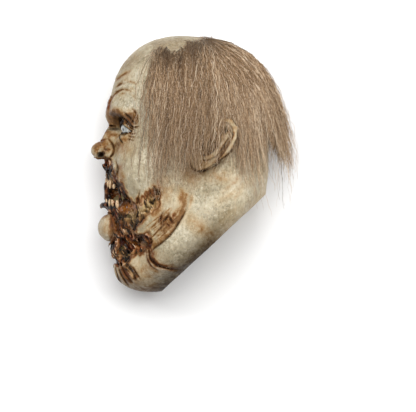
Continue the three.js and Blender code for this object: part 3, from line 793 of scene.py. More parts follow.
# ==== HAIR ====
# Side elevation (x, y): the hairline is a horseshoe round the bald crown.
HAIRLINE = [(140, 62), (150, 51), (156, 47.5), (163, 48), (172, 51), (180, 51), (186, 47), (192, 41), (198, 35), (206, 29),
            (214, 22), (300, 10)]


def hairline_y(x):
    p = np.array(HAIRLINE)
    return np.interp(x, p[:, 0], p[:, 1])


class Scalp:
    """distance to what the hair must stay clear of, and its gradient"""
    def __init__(self, form):
        self.form = form

    def d(self, P):
        d = self.form.masses(P)
        Q = P.copy()
        Q[:, 2] = np.abs(Q[:, 2])
        e = ellipsoid((Q - EAR_AT.astype(f32)) @ EAR_M.astype(f32), (1, 3, 1.5), (22.5, 38.5, 9.6))
        d = smin(d, np.where(P[:, 2] > 0, e, f32(99)), 6)
        return smax(d, -(P[:, 2] + REST_W), 3)

    def grad(self, P, e=0.8):
        d0 = self.d(P)
        G = np.zeros_like(P)
        for k in range(3):
            S = P.copy()
            S[:, k] += e
            G[:, k] = self.d(S) - d0
        return d0, G / (np.linalg.norm(G, axis=1)[:, None] + 1e-6)


def flow(x, y):
    """how far a hair leans to the back for each length it falls, by place"""
    top = np.interp(x, [150, 165, 185, 200, 215, 230, 245, 265, 290], [0.01, 0.02, 0.03, 0.06, 0.18, 0.38, 0.50, 0.30, 0.02])
    low = np.interp(x, [150, 170, 190, 215, 240, 262, 276, 290], [-0.05, -0.05, -0.01, 0.02, 0.03, 0.08, 0.15, 0.0])
    low = low + 0.17 * step(112, 135, y) * step(172, 150, x)
    k = step(112, 62, y)
    return low + (top - low) * k


def strands(form, rng, roots, normals, steps, length, lift, spread):
    """runs hairs from their roots: down over the head, clear of it and of the floor"""
    S = Scalp(form)
    n = len(roots)
    P = roots + normals * 0.2
    path = [P.copy()]
    own = spread * rng.normal(0, 1, n)
    front = step(172, 153, roots[:, 0] / UNIT + 190)
    own = own * np.where(own < 0, 1 + 0.9 * front, 1 - 0.5 * front)
    V = None
    ds = (length / steps).astype(f32)
    for k in range(steps):
        t = (k + 1) / steps
        Pf = P.astype(f32)
        lean = flow(P[:, 0] / UNIT + 190, 150 - P[:, 1] / UNIT) + own + 0.11 * noise(Pf, 26, 81) + 0.12 * noise(Pf, 11, 82)
        D = np.stack([lean, -np.ones(n), np.sign(P[:, 2]) * 0.02], 1).astype(f32)
        D /= np.linalg.norm(D, axis=1)[:, None]
        if V is None:
            V = normals * 0.5 + D * 0.6 + np.array([-0.12, 0.1, 0.0])
        V = V * 0.45 + D * 0.55
        V /= np.linalg.norm(V, axis=1)[:, None]
        P = P + V * ds[:, None]
        want = lift * min(1.0, 0.15 + 1.6 * t)
        for _ in range(2):
            d, G = S.grad(P.astype(f32))
            push = np.clip(want - d, 0, None)
            P = P + G * push[:, None]
            P[:, 2] += np.clip(-(REST_W - 0.9) - P[:, 2], 0, None)
        V = P - path[-1]
        V /= np.linalg.norm(V, axis=1)[:, None] + 1e-6
        path.append(P.copy())
    return np.stack(path, 1)                              # n, steps + 1, 3


def along(path, t):
    """points at t (n, k), in steps of the path, on a smooth curve through it"""
    n, m, _ = path.shape
    i = np.clip(t.astype(int), 0, m - 2)
    f = (t - i)[..., None]
    r = np.arange(n)[:, None]
    p0, p1 = path[r, np.maximum(i - 1, 0)], path[r, i]
    p2, p3 = path[r, i + 1], path[r, np.minimum(i + 2, m - 1)]
    return 0.5 * (2 * p1 + (p2 - p0) * f + (2 * p0 - 5 * p1 + 4 * p2 - p3) * f ** 2 + (3 * p1 - p0 - 3 * p2 + p3) * f ** 3)


def tubes(path, radius, sides=3):
    """closed tubes round the paths; radius is (n, m)"""
    n, m, _ = path.shape
    T = np.gradient(path, axis=1)
    T /= np.linalg.norm(T, axis=2, keepdims=True) + 1e-9
    A = np.cross(T, np.array([0.31, 0.22, 0.92]))
    A /= np.linalg.norm(A, axis=2, keepdims=True) + 1e-9
    B = np.cross(T, A)
    ring = []
    for q in range(sides):
        a = 2 * math.pi * q / sides
        ring.append(path + radius[..., None] * (A * math.cos(a) + B * math.sin(a)))
    V = np.stack(ring, 2).reshape(-1, 3)                  # n, m, sides points
    base = (np.arange(n) * m * sides)[:, None, None] + (np.arange(m - 1) * sides)[None, :, None]
    quads = []
    for q in range(sides):
        r = (q + 1) % sides
        quads.append(np.stack([base[..., 0] + q, base[..., 0] + r, base[..., 0] + sides + r, base[..., 0] + sides + q],
                              -1).reshape(-1, 4))
    quads = np.concatenate(quads)
    s = np.arange(n) * m * sides
    e = s + (m - 1) * sides
    caps = []
    for q in range(1, sides - 1):
        caps += [np.stack([s, s + q + 1, s + q], 1), np.stack([e, e + q, e + q + 1], 1)]
    return V, quads, np.concatenate(caps)
# ==== END HAIR ====


# ==== SCENE ====
EYE_LO, EYE_HI = (np.array(c) * 1000 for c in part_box("left_eye"))
HX = (EYE_LO[0] + EYE_HI[0]) / 2 + EYE[1]
HY = EYE_LO[1] + 85.5
HZ = (EYE_LO[2] + EYE_HI[2]) / 2 - EYE[2]


def place(P):
    """head frame, millimetres, to the part's frame, metres"""
    P = np.asarray(P, np.float64)
    return np.stack([HX - P[..., 1], P[..., 0] + HY, P[..., 2] + HZ], -1) / 1000


def new_mesh(name, P, quads=None, tris=None):
    me = bpy.data.meshes.new(name)
    quads = np.zeros((0, 4), int) if quads is None else np.asarray(quads)
    tris = np.zeros((0, 3), int) if tris is None else np.asarray(tris)
    me.vertices.add(len(P))
    me.vertices.foreach_set("co", np.ascontiguousarray(place(P), np.float32).ravel())
    loops = np.concatenate([quads.ravel(), tris.ravel()]).astype(np.int32)
    me.loops.add(len(loops))
    me.loops.foreach_set("vertex_index", loops)
    start = np.concatenate([np.arange(len(quads)) * 4, len(quads) * 4 + np.arange(len(tris)) * 3]).astype(np.int32)
    me.polygons.add(len(start))
    me.polygons.foreach_set("loop_start", start)
    me.update(calc_edges=True)
    me.validate()
    me.polygons.foreach_set("use_smooth", np.ones(len(me.polygons), bool))
    return me


def add_object(name, me, node=None, mat=None):
    ob = bpy.data.objects.new(name, me)
    bpy.context.scene.collection.objects.link(ob)
    if mat:
        me.materials.append(mat)
    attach(ob, "root")
    if node:
        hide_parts(node)
    return ob


def colour_layer(me, name, data):
    a = me.attributes.new(name, 'FLOAT_COLOR', 'POINT')
    out = np.ones((len(me.vertices), 4), np.float32)
    out[:, :data.shape[1]] = data
    a.data.foreach_set("color", out.ravel())


def normals_of(P, Q):
    T = np.concatenate([Q[:, [0, 1, 2]], Q[:, [0, 2, 3]]])
    fn = np.cross(P[T[:, 1]] - P[T[:, 0]], P[T[:, 2]] - P[T[:, 0]])
    N = np.zeros((len(P), 3))
    for k in range(3):
        for c in range(3):
            N[:, c] += np.bincount(T[:, k], fn[:, c], len(P))
    return (N / (np.linalg.norm(N, axis=1)[:, None] + 1e-9)).astype(f32)


# ---- materials ------------------------------------------------------------
def srgb(r, g, b):
    out = []
    for c in (r, g, b):
        c = c / 255
        out.append(c / 12.92 if c <= 0.04045 else ((c + 0.055) / 1.055) ** 2.4)
    return (*out, 1.0)


class Nodes:
    def __init__(self, name):
        self.mat = bpy.data.materials.new(name)
        self.mat.use_nodes = True
        self.t = self.mat.node_tree
        self.t.nodes.clear()
        self.out = self.add('ShaderNodeOutputMaterial')
        self.bsdf = self.add('ShaderNodeBsdfPrincipled')
        self.t.links.new(self.bsdf.outputs[0], self.out.inputs[0])
        self.co = self.add('ShaderNodeTexCoord').outputs['Object']

    def add(self, kind, **kw):
        n = self.t.nodes.new(kind)
        for k, v in kw.items():
            setattr(n, k, v)
        return n

    def link(self, a, b):
        self.t.links.new(a, b)

    def put(self, socket, value):
        if hasattr(value, 'is_linked') or hasattr(value, 'links'):
            self.link(value, socket)
        else:
            socket.default_value = value

    def noise(self, scale, detail=4.0, rough=0.55, stretch=None, distort=0.0, co=None, out='Fac'):
        co = co or self.co
        if stretch:
            m = self.add('ShaderNodeMapping')
            m.inputs['Scale'].default_value = stretch
            self.link(co, m.inputs['Vector'])
            co = m.outputs[0]
        n = self.add('ShaderNodeTexNoise')
        n.inputs['Scale'].default_value = scale
        n.inputs['Detail'].default_value = detail
        n.inputs['Roughness'].default_value = rough
        n.inputs['Distortion'].default_value = distort
        self.link(co, n.inputs['Vector'])
        return n.outputs[out]

    def voronoi(self, scale, feature='F1', co=None, out='Distance'):
        n = self.add('ShaderNodeTexVoronoi', feature=feature)
        n.inputs['Scale'].default_value = scale
        self.link(co or self.co, n.inputs['Vector'])
        return n.outputs[out]

    def ramp(self, fac, stops, ease='LINEAR'):
        n = self.add('ShaderNodeValToRGB')
        n.color_ramp.interpolation = ease
        e = n.color_ramp.elements
        while len(e) > 1:
            e.remove(e[-1])
        e[0].position, e[0].color = stops[0]
        for p, c in stops[1:]:
            x = e.new(p)
            x.color = c
        self.link(fac, n.inputs['Fac'])
        return n.outputs['Color']

    def span(self, x, a, b, lo=0.0, hi=1.0, kind='SMOOTHSTEP'):
        n = self.add('ShaderNodeMapRange', interpolation_type=kind)
        n.inputs['From Min'].default_value = a
        n.inputs['From Max'].default_value = b
        n.inputs['To Min'].default_value = lo
        n.inputs['To Max'].default_value = hi
        self.link(x, n.inputs['Value'])
        return n.outputs['Result']

    def math(self, op, a, b=None, clamp=False):
        n = self.add('ShaderNodeMath', operation=op, use_clamp=clamp)
        self.put(n.inputs[0], a)
        if b is not None:
            self.put(n.inputs[1], b)
        return n.outputs[0]

    def mix(self, fac, a, b, blend='MIX'):
        n = self.add('ShaderNodeMix', data_type='RGBA', blend_type=blend, clamp_factor=True)
        self.put(n.inputs[0], fac)
        self.put(n.inputs[6], a)
        self.put(n.inputs[7], b)
        return n.outputs[2]

    def attribute(self, name):
        a = self.add('ShaderNodeAttribute', attribute_name=name)
        s = self.add('ShaderNodeSeparateColor')
        self.link(a.outputs['Color'], s.inputs[0])
        return s.outputs

    def bump(self, height, strength, distance, normal=None):
        n = self.add('ShaderNodeBump')
        n.inputs['Strength'].default_value = strength
        n.inputs['Distance'].default_value = distance
        self.link(height, n.inputs['Height'])
        if normal is not None:
            self.link(normal, n.inputs['Normal'])
        return n.outputs[0]


def skin_material():
    m = Nodes("latex_paint")
    stain_and_shade, dark, red = m.attribute('paint')
    flesh, scalp, inner = m.attribute('zones')
    amber, mouth_black_and_shade, lump = m.attribute('more')
    # pale paint, clouded, with grey-green sponging, thin runs and dark flecks
    cloud = m.noise(26, 3, 0.6)
    base = m.ramp(cloud, [(0.28, srgb(144, 130, 103)), (0.48, srgb(177, 166, 141)), (0.72, srgb(200, 192, 171))])
    warm = m.noise(11, 3, 0.55, distort=0.5)
    base = m.mix(m.span(warm, 0.5, 0.72, 0, 0.5), base, srgb(168, 148, 106))
    sponge = m.noise(290, 5, 0.75)
    patch = m.noise(36, 4, 0.65)
    grime = m.math('MULTIPLY', m.span(sponge, 0.44, 0.62), m.span(patch, 0.36, 0.60, 0.25, 1.0))
    base = m.mix(m.math('MULTIPLY', grime, 0.72), base, srgb(108, 100, 76))
    runs = m.noise(330, 4, 0.65, stretch=(0.16, 1, 1))
    base = m.mix(m.span(runs, 0.52, 0.70, 0, 0.42), base, srgb(124, 98, 58))
    light = m.noise(210, 4, 0.7)
    base = m.mix(m.span(light, 0.56, 0.70, 0, 0.5), base, srgb(222, 214, 192))
    fleck = m.noise(640, 3, 0.7)
    base = m.mix(m.span(fleck, 0.57, 0.70, 0, 0.5), base, srgb(78, 68, 48))
    blotch = m.noise(120, 4, 0.7)
    base = m.mix(m.span(blotch, 0.50, 0.66, 0, 0.42), base, srgb(126, 118, 94))
    # brown wash in the creases, golden where it is thin
    ragged = m.noise(150, 5, 0.68)
    st = m.math('ADD', stain_and_shade, m.math('MULTIPLY', m.math('SUBTRACT', ragged, 0.5), m.span(stain_and_shade, 0.02, 0.5, 0, 1.3)), True)
    wash = m.ramp(st, [(0.0, srgb(178, 150, 104)), (0.35, srgb(152, 114, 62)), (0.62, srgb(120, 80, 36)), (0.95, srgb(82, 50, 18))])
    base = m.mix(m.span(st, 0.0, 0.60, 0, 0.92, 'LINEAR'), base, wash)
    rd = m.math('ADD', red, m.math('MULTIPLY', m.math('SUBTRACT', ragged, 0.5), m.span(red, 0.02, 0.4, 0, 0.8)), True)
    base = m.mix(rd, base, m.ramp(m.noise(180, 3, 0.6), [(0.3, srgb(70, 26, 12)), (0.7, srgb(132, 66, 32))]))
    dk = m.math('ADD', dark, m.math('MULTIPLY', m.math('SUBTRACT', ragged, 0.5), m.span(dark, 0.02, 0.4, 0, 0.6)), True)
    base = m.mix(dk, base, srgb(24, 12, 5))
    # scalp under the hair
    streak = m.noise(300, 3, 0.6, stretch=(0.12, 1, 1))
    sc = m.ramp(streak, [(0.3, srgb(78, 58, 38)), (0.6, srgb(122, 97, 68)), (0.8, srgb(148, 126, 94))])
    base = m.mix(m.math('MULTIPLY', scalp, m.span(m.noise(90, 3), 0.3, 0.6, 0.55, 0.95)), base, sc)
    # torn flesh: black in its pits, brown on its sides, tan on its ridges, with a painted pinkish highlight on the
    # highest
    meat = m.noise(330, 5, 0.7, distort=0.6)
    hgt = m.math('ADD', m.math('MULTIPLY', lump, 0.82), m.math('MULTIPLY', meat, 0.42))
    fl = m.ramp(hgt, [(0.52, srgb(6, 3, 2)), (0.62, srgb(30, 13, 6)), (0.71, srgb(68, 34, 13)), (0.80, srgb(112, 62, 25)),
                      (0.89, srgb(156, 104, 58)), (0.96, srgb(222, 192, 164))])
    olive = m.ramp(hgt, [(0.46, srgb(14, 8, 4)), (0.57, srgb(60, 43, 22)), (0.72, srgb(120, 94, 56)), (0.90, srgb(176, 152, 110))])
    fl = m.mix(m.math('ADD', m.span(m.noise(44, 3), 0.52, 0.66, 0, 0.6), stain_and_shade, True), fl, olive)
    fl = m.mix(m.math('MULTIPLY', m.span(m.noise(75, 3), 0.55, 0.66), 0.5), fl, srgb(70, 20, 8))
    fl = m.mix(m.math('MULTIPLY', red, 0.7), fl, m.ramp(hgt, [(0.5, srgb(10, 3, 2)), (0.68, srgb(62, 20, 10)), (0.9, srgb(150, 84, 52))]))
    fl = m.mix(amber, fl, m.ramp(m.noise(150, 3, 0.5, distort=0.8), [(0.32, srgb(70, 34, 4)), (0.5, srgb(114, 62, 9)), (0.7, srgb(150, 94, 24))]))
    fz = m.math('ADD', flesh, m.math('MULTIPLY', m.math('SUBTRACT', ragged, 0.5), m.span(flesh, 0.05, 0.5, 0, 0.5)), True)
    base = m.mix(fz, base, fl)
    # near-black inside the mouth: painted shade, with black patches in the flesh
    base = m.mix(mouth_black_and_shade, base, srgb(12, 7, 5))
    # bare latex inside
    bare = m.ramp(m.noise(60, 3), [(0.3, srgb(188, 170, 128)), (0.7, srgb(206, 190, 150))])
    base = m.mix(inner, base, bare)
    m.link(base, m.bsdf.inputs['Base Color'])
    rough = m.math('ADD', m.span(m.noise(260, 3), 0.3, 0.7, 0.42, 0.6), m.math('MULTIPLY', fz, -0.30))
    rough = m.math('ADD', rough, m.math('MULTIPLY', st, -0.10))
    m.link(rough, m.bsdf.inputs['Roughness'])
    m.bsdf.inputs['Subsurface Weight'].default_value = 0.06
    m.bsdf.inputs['Subsurface Radius'].default_value = (0.005, 0.003, 0.0015)
    shine = m.math('ADD', m.math('MULTIPLY', m.math('ADD', m.math('ADD', fz, mouth_black_and_shade), m.math('ADD', st, dk), True), -0.24), 0.28)
    m.link(shine, m.bsdf.inputs['Specular IOR Level'])
    # skin grain: creases, pores and soft dents
    h = m.math('MULTIPLY', m.noise(240, 5, 0.65), 0.6)
    h = m.math('ADD', h, m.math('MULTIPLY', m.voronoi(420), -0.3))
    h = m.math('ADD', h, m.math('MULTIPLY', m.noise(60, 4, 0.6), 1.0))
    still = m.math('SUBTRACT', 1.0, amber, True)
    h = m.math('ADD', h, m.math('MULTIPLY', m.math('MULTIPLY', m.math('MULTIPLY', meat, fz), still), 2.2))
    m.link(m.math('ADD', m.math('MULTIPLY', fz, 0.22), m.math('MULTIPLY', amber, 0.5), True), m.bsdf.inputs['Coat Weight'])
    m.bsdf.inputs['Coat Roughness'].default_value = 0.12
    m.link(m.bump(h, 0.6, 0.0014), m.bsdf.inputs['Normal'])
    return m.mat


def hair_material():
    m = Nodes("crimped_hair")
    tone, root, grey = m.attribute('strand')
    c = m.ramp(tone, [(0.0, srgb(72, 48, 30)), (0.25, srgb(124, 94, 64)), (0.6, srgb(184, 152, 116)), (1.0, srgb(240, 220, 192))])
    n = m.noise(150, 3, 0.6)
    c = m.mix(m.span(n, 0.4, 0.7, 0, 0.3), c, srgb(98, 76, 57))
    c = m.mix(m.span(m.noise(430, 2, 0.6), 0.52, 0.64, 0, 0.42), c, srgb(84, 62, 42))
    c = m.mix(m.span(m.noise(520, 2, 0.6, distort=0.3), 0.54, 0.66, 0, 0.4), c, srgb(226, 204, 176))
    c = m.mix(m.math('MULTIPLY', root, 0.88), c, srgb(58, 40, 25))
    c = m.mix(m.math('MULTIPLY', grey, 0.2), c, srgb(176, 156, 130))
    m.link(c, m.bsdf.inputs['Base Color'])
    m.link(m.span(n, 0.3, 0.7, 0.42, 0.6), m.bsdf.inputs['Roughness'])
    m.bsdf.inputs['Specular IOR Level'].default_value = 0.22
    m.link(m.bump(m.noise(900, 2), 0.3, 0.0003), m.bsdf.inputs['Normal'])
    return m.mat


def eye_material():
    m = Nodes("blind_eye")
    # rings round the middle of the cornea, by distance on the object
    iris, pupil, vein = m.attribute('eye')
    n = m.noise(260, 4, 0.6)
    white = m.ramp(n, [(0.3, srgb(170, 170, 162)), (0.7, srgb(212, 212, 204))])
    cloud = m.ramp(m.noise(420, 4, 0.65), [(0.3, srgb(120, 126, 126)), (0.7, srgb(172, 178, 176))])
    c = m.mix(iris, white, cloud)
    c = m.mix(m.math('MULTIPLY', pupil, 0.92), c, srgb(14, 14, 14))
    veins = m.math('MULTIPLY', m.span(m.noise(170, 5, 0.7, distort=1.5), 0.56, 0.62), vein)
    c = m.mix(m.math('MULTIPLY', veins, 0.6), c, srgb(130, 60, 44))
    m.link(c, m.bsdf.inputs['Base Color'])
    m.link(m.span(n, 0.3, 0.7, 0.07, 0.14), m.bsdf.inputs['Roughness'])
    m.bsdf.inputs['Coat Weight'].default_value = 0.6
    m.bsdf.inputs['Coat Roughness'].default_value = 0.04
    return m.mat


def tooth_material():
    m = Nodes("old_teeth")
    tip, _, _ = m.attribute('tooth')
    n = m.noise(380, 4, 0.65)
    c = m.ramp(n, [(0.3, srgb(142, 108, 70)), (0.55, srgb(200, 170, 132)), (0.8, srgb(226, 206, 174))])
    c = m.mix(m.span(tip, 0.45, 0.0, 0, 0.9), c, srgb(74, 42, 20))
    c = m.mix(m.span(m.noise(900, 3, 0.7, stretch=(0.2, 1, 1)), 0.55, 0.7, 0, 0.5), c, srgb(92, 60, 34))
    m.link(c, m.bsdf.inputs['Base Color'])
    m.link(m.span(n, 0.3, 0.7, 0.25, 0.42), m.bsdf.inputs['Roughness'])
    m.link(m.bump(n, 0.4, 0.0006), m.bsdf.inputs['Normal'])
    return m.mat


SKIN, HAIR, EYEBALL, TOOTH = skin_material(), hair_material(), eye_material(), tooth_material()

# ---- the casting ------------------------------------------------------------
form = Form()
Z = 1.0                            # grid coarseness
axes = [axis([(-132, -125, 1.6 * Z), (-125, -44, 0.88 * Z), (-44, 16, 1.3 * Z), (16, 106, 1.75 * Z)]),
        axis([(-182, -122, 1.15 * Z), (-122, 50, 0.92 * Z), (50, 146, 1.7 * Z)]),
        axis([(-REST_W - 0.9, -24, 1.8 * Z), (-24, 60, 1.15 * Z), (60, 103, 1.1 * Z)])]
D = lattice(form, axes)
D = np.maximum(D, -(axes[2] + REST_W)[None, None, :].astype(f32))       # cut flat where it rests
P, Q = surface_nets(D, axes)
print("grid", D.shape, "points", len(P))
del D
N = normals_of(P, Q)
resting = P[:, 2] < -REST_W + 0.4
P[resting, 2] = -REST_W
P[:, 2] = np.maximum(P[:, 2], -REST_W)
P = P.astype(f32)


def zones_of(P, N):
    """paint and zone masks at points of the skin"""
    d_out, d_in = form(P, parts=True)
    u, v = warp(P)
    tone = np.stack([sample(MAPS[n], u, v) for n in ('stain_and_shade', 'dark', 'red')], 1)
    _, _, fs, ts = tear_fields(P)
    flesh = np.maximum(step(0.9, -0.7, fs), step(0.6, -0.6, ts))
    # brown rim of the tear
    rim = np.exp(-(np.clip(fs, 0, 99) / 3.4) ** 2) * 0.8
    tone[:, 0] = np.maximum(tone[:, 0], rim)
    tone[:, 2] = np.maximum(tone[:, 2], 0.5 * np.exp(-(np.clip(fs - 0.4, 0, 99) / 1.5) ** 2))
    x, y = P[:, 0] / UNIT + 190, 150 - P[:, 1] / UNIT
    mod = np.clip(1 + 0.34 * noise(P, 8, 91) + 0.26 * noise(P, 3.4, 92), 0.35, 1.3)
    tone[:, 0] *= mod
    tone[:, 2] *= mod
    snout = np.exp(-(np.hypot((x - 100) / 10.5, (y - 147) / 10)) ** 4)
    tone[:, 0] = np.maximum(tone[:, 0], snout * np.clip(0.42 + 0.6 * noise(P, 3.2, 93) + 0.5 * noise(P, 1.5, 94), 0, 1))
    tone[:, 2] = np.maximum(tone[:, 2], snout * np.clip(0.5 * noise(P, 2.2, 95), 0, 1))
    # lids: dark along the opening, painted shadow of the lids with black liner
    Qm = P.copy()
    Qm[:, 2] = np.abs(Qm[:, 2])
    X = Qm - EYE.astype(f32)
    r = np.sqrt((X * X).sum(-1))
    a = np.degrees(np.arctan2(X[:, 2], -X[:, 0]))
    gap = eye_gap(X, a)
    lid = np.exp(-(np.clip(gap - 0.2, 0, 99) / 2.1) ** 2) * step(19, 16.6, r) * (np.abs(a - 20) < 76)
    tone[:, 1] = np.maximum(tone[:, 1], lid)
    # brown stain over the eye's hollow, darker deepest in as painted shade
    hollow = np.exp(-(np.linalg.norm((Qm - np.array([-88, 33, 28])) / np.array([11, 10, 20]), axis=1)) ** 2 * 1.1)
    tone[:, 0] = np.maximum(tone[:, 0], hollow)
    tone[:, 1] = np.maximum(tone[:, 1], 0.32 * hollow ** 2)
    # the nostril dent painted near-black, as painted shade of an open nostril
    pit = ellipsoid(Qm, *NOSTRIL)
    tone[:, 1] = np.maximum(tone[:, 1], step(1.2, -0.8, pit) * 0.97)
    # hollows of the ear, the stain over it, and a painted shadow along its lower edge
    E = (Qm - EAR_AT.astype(f32)) @ EAR_M.astype(f32)
    bowl = np.minimum(ellipsoid(E, (-4, -4, 5.5), (8.5, 12.5, 9.5)), ellipsoid(E, (-5, 14, 6.5), (6.5, 8.5, 7)))
    bowl = np.minimum(bowl, ellipsoid(E, (14.5, 8, 6.5), (2.6, 20, 5.5)))
    bowl = np.minimum(bowl, ellipsoid(E, (2, 28, 7.5), (8, 3.4, 5)))
    near_ear = step(12, 3, ellipsoid(E, (1, 4, 0), (21, 36, 10)))
    mott = 0.5 + 0.5 * noise(P, 5, 61)
    tone[:, 0] = np.maximum(tone[:, 0], 1.0 * step(2.4, -0.2, bowl) * near_ear)
    tone[:, 1] = np.maximum(tone[:, 1], 0.93 * step(0.9, -1.4, bowl) * near_ear)
    tone[:, 0] = np.maximum(tone[:, 0], (0.14 + 0.34 * mott) * near_ear)
    # painted shadow along the lower back edge of the ear
    round_ear = np.exp(-((ellipsoid(E, (-1, 0, 0), (18, 36, 12)) - 0.5) / 2.6) ** 2) * (E[:, 2] < 4)
    tone[:, 1] = np.maximum(tone[:, 1], 0.95 * round_ear * step(0, -12, E[:, 1]))
    # painted shade toward the open edge: brown and near-black near the rim, strongest along the lower side
    s = -((P[:, 0] - RIM_AT[0]) * RIM_OUT[0] + (P[:, 1] - RIM_AT[1]) * RIM_OUT[1])
    low = step(238, 205, x)
    tone[:, 0] = np.maximum(tone[:, 0], 0.55 * np.exp(-(s / 12) ** 2) * (0.4 + 0.6 * low) * (0.5 + 0.5 * mott))
    tone[:, 1] = np.maximum(tone[:, 1], 0.85 * np.exp(-(s / 19) ** 2) * low)
    # scalp
    hl = hairline_y(x - 9 * np.exp(-(P[:, 2] / 26) ** 2) * step(185, 200, x))
    below = y - hl + 3.0 * noise(P, 12, 41) + 7.0 * noise(P, 2.6, 42)
    scalp = step(-9, 11, below) * step(118, 70, y - np.clip(x - 200, 0, 60) * 0.6) * step(150, 158, x + 2 * noise(P, 9, 43))
    inner = (d_in < -d_out - 0.15).astype(f32)
    mouth = (P[:, 0] < -76) & (np.abs(P[:, 1] + 55) < 15)
    front = mouth & (P[:, 0] < -97)
    inner = np.where(front, 0, inner)
    flesh = np.where(front, 1, flesh)
    flange = np.exp(-((x - 114.2) / 1.7) ** 2 - ((y - 165.5) / 6) ** 2) * step(0.0, 1.2, fs)
    tone[:, 0] *= 1 - 0.85 * flange
    tone[:, 2] *= 1 - 0.95 * flange
    # inside the flesh the paints say where it is olive and where it is red
    band = step(-0.5, -2.5, fs)
    q = np.clip(((x - 131) * 21 + (y - 216) * -12) / 585.0, 0, 1)
    olive = 0.9 * np.exp(-(np.hypot(x - 131 - 21 * q, y - 216 + 12 * q) / 7.5) ** 2) + 0.5 * np.exp(-(np.hypot((x - 122) / 7, (y - 250) / 7)) ** 2)
    gash = np.exp(-(np.hypot((x - 140) / 12, (y - 236.5) / 3.2)) ** 4) + 0.8 * np.exp(-(np.hypot((x - 116) / 5, (y - 232) / 9)) ** 2) \
        + 0.8 * np.exp(-(np.hypot((x - 104) / 5, (y - 206) / 6)) ** 2) + 0.7 * front + 0.8 * np.exp(-(np.hypot((x - 105) / 6, (y - 164) / 5)) ** 2)
    tone[:, 0] = tone[:, 0] * (1 - band) + band * np.clip(olive, 0, 1)
    tone[:, 2] = tone[:, 2] * (1 - band) + band * np.clip(gash, 0, 1)
    tone[:, 1] = tone[:, 1] * (1 - band * 0.8)
    zones = np.stack([flesh, scalp, inner], 1)
    zones[:, :2] *= (1 - inner)[:, None]
    tone *= (1 - inner)[:, None]
    amber = np.exp(-(np.hypot(x - 127, (y - 207.5) * 1.1) / 6.5) ** 2) + 0.7 * np.exp(-(np.hypot(x - 135.5, y - 206.5) / 3.0) ** 2)
    amber = amber + 0.65 * np.exp(-(np.hypot((x - 138) / 9, (y - 242) / 2.6)) ** 2) + 0.35 * np.exp(-(np.hypot(x - 116, y - 226) / 5) ** 2)
    # near-black inside the mouth and in the flesh's gaps: painted shade of the mouth's inside, with black patches in
    # the flesh
    mouth_black_and_shade = inner * step(-36, -52, P[:, 0]) * step(48, 32, np.abs(P[:, 1] + 55))
    mouth_black_and_shade = np.maximum(mouth_black_and_shade, flesh * 0.8 * np.exp(-(np.hypot((x - 108.5) / 4.4, (y - 172) / 4.6)) ** 4))
    mouth_black_and_shade = np.maximum(mouth_black_and_shade, 0.45 * front)
    mouth_black_and_shade = np.maximum(mouth_black_and_shade, flesh * 0.85 * np.exp(-(np.hypot((x - 126) / 4.6, (y - 195) / 8)) ** 4))
    # the torn upper lip under the nose gets lighter flesh tones, and more red in gash above: painted light where the
    # nose shades it
    lip = np.exp(-(np.hypot((x - 105) / 6.5, (y - 163.5) / 5)) ** 4)
    lump = np.clip(0.5 + flesh_relief(P) / 5.2 + 0.2 * lip, 0, 1)
    more = np.stack([np.clip(amber, 0, 1), mouth_black_and_shade, lump], 1)
    return tone, zones, more


# fewer points where little is seen
tone, zones, more = zones_of(P, N)
busy = np.clip(tone.max(1) * 0.7 + zones[:, 0], 0, 1)
face = step(10, -45, P[:, 0])
ear_near = step(52, 38, np.linalg.norm(np.stack([P[:, 0] - 30, P[:, 1] - 2.5, np.abs(P[:, 2]) - 80], 1), axis=1)) * (P[:, 2] > 0)
keep = np.clip(0.25 + 0.45 * face + 0.5 * busy + 0.5 * ear_near, 0, 1)
keep = keep * np.where(P[:, 2] < -20, 0.6, 1)
keep = np.where(zones[:, 2] > 0.5, 0.0, keep)
raw = new_mesh("raw_skin", P, Q)
tmp = bpy.data.objects.new("raw_skin", raw)
bpy.context.scene.collection.objects.link(tmp)
vg = tmp.vertex_groups.new(name="thin")
for lvl in range(11):
    idx = np.nonzero(np.round((1 - keep) * 10).astype(int) == lvl)[0]
    if len(idx):
        vg.add(idx.tolist(), lvl / 10, 'REPLACE')
tris = sum(len(p.vertices) - 2 for p in raw.polygons)
dec = tmp.modifiers.new("thin", 'DECIMATE')
dec.ratio = min(1.0, 196000 / tris)
dec.vertex_group = "thin"
dec.vertex_group_factor = 0.00002
dg = bpy.context.evaluated_depsgraph_get()
skin_me = bpy.data.meshes.new_from_object(tmp.evaluated_get(dg))
bpy.data.objects.remove(tmp)
print("skin", tris, "->", sum(len(p.vertices) - 2 for p in skin_me.polygons))
co = np.zeros(len(skin_me.vertices) * 3, np.float32)
skin_me.vertices.foreach_get("co", co)
co = co.reshape(-1, 3).astype(np.float64) * 1000
PS = np.stack([co[:, 1] - HY, HX - co[:, 0], co[:, 2] - HZ], 1).astype(f32)
no = np.zeros(len(skin_me.vertices) * 3, np.float32)
skin_me.vertex_normals.foreach_get("vector", no)
no = no.reshape(-1, 3)
NS = np.stack([no[:, 1], -no[:, 0], no[:, 2]], 1).astype(f32)
tone, zones, more = zones_of(PS, NS)
colour_layer(skin_me, 'paint', tone)
colour_layer(skin_me, 'zones', zones)
colour_layer(skin_me, 'more', more)
skin_me.materials.clear()
skin_me.name = "casting"
skin_me.polygons.foreach_set("use_smooth", np.ones(len(skin_me.polygons), bool))
add_object("casting", skin_me, "latex_skin", SKIN)


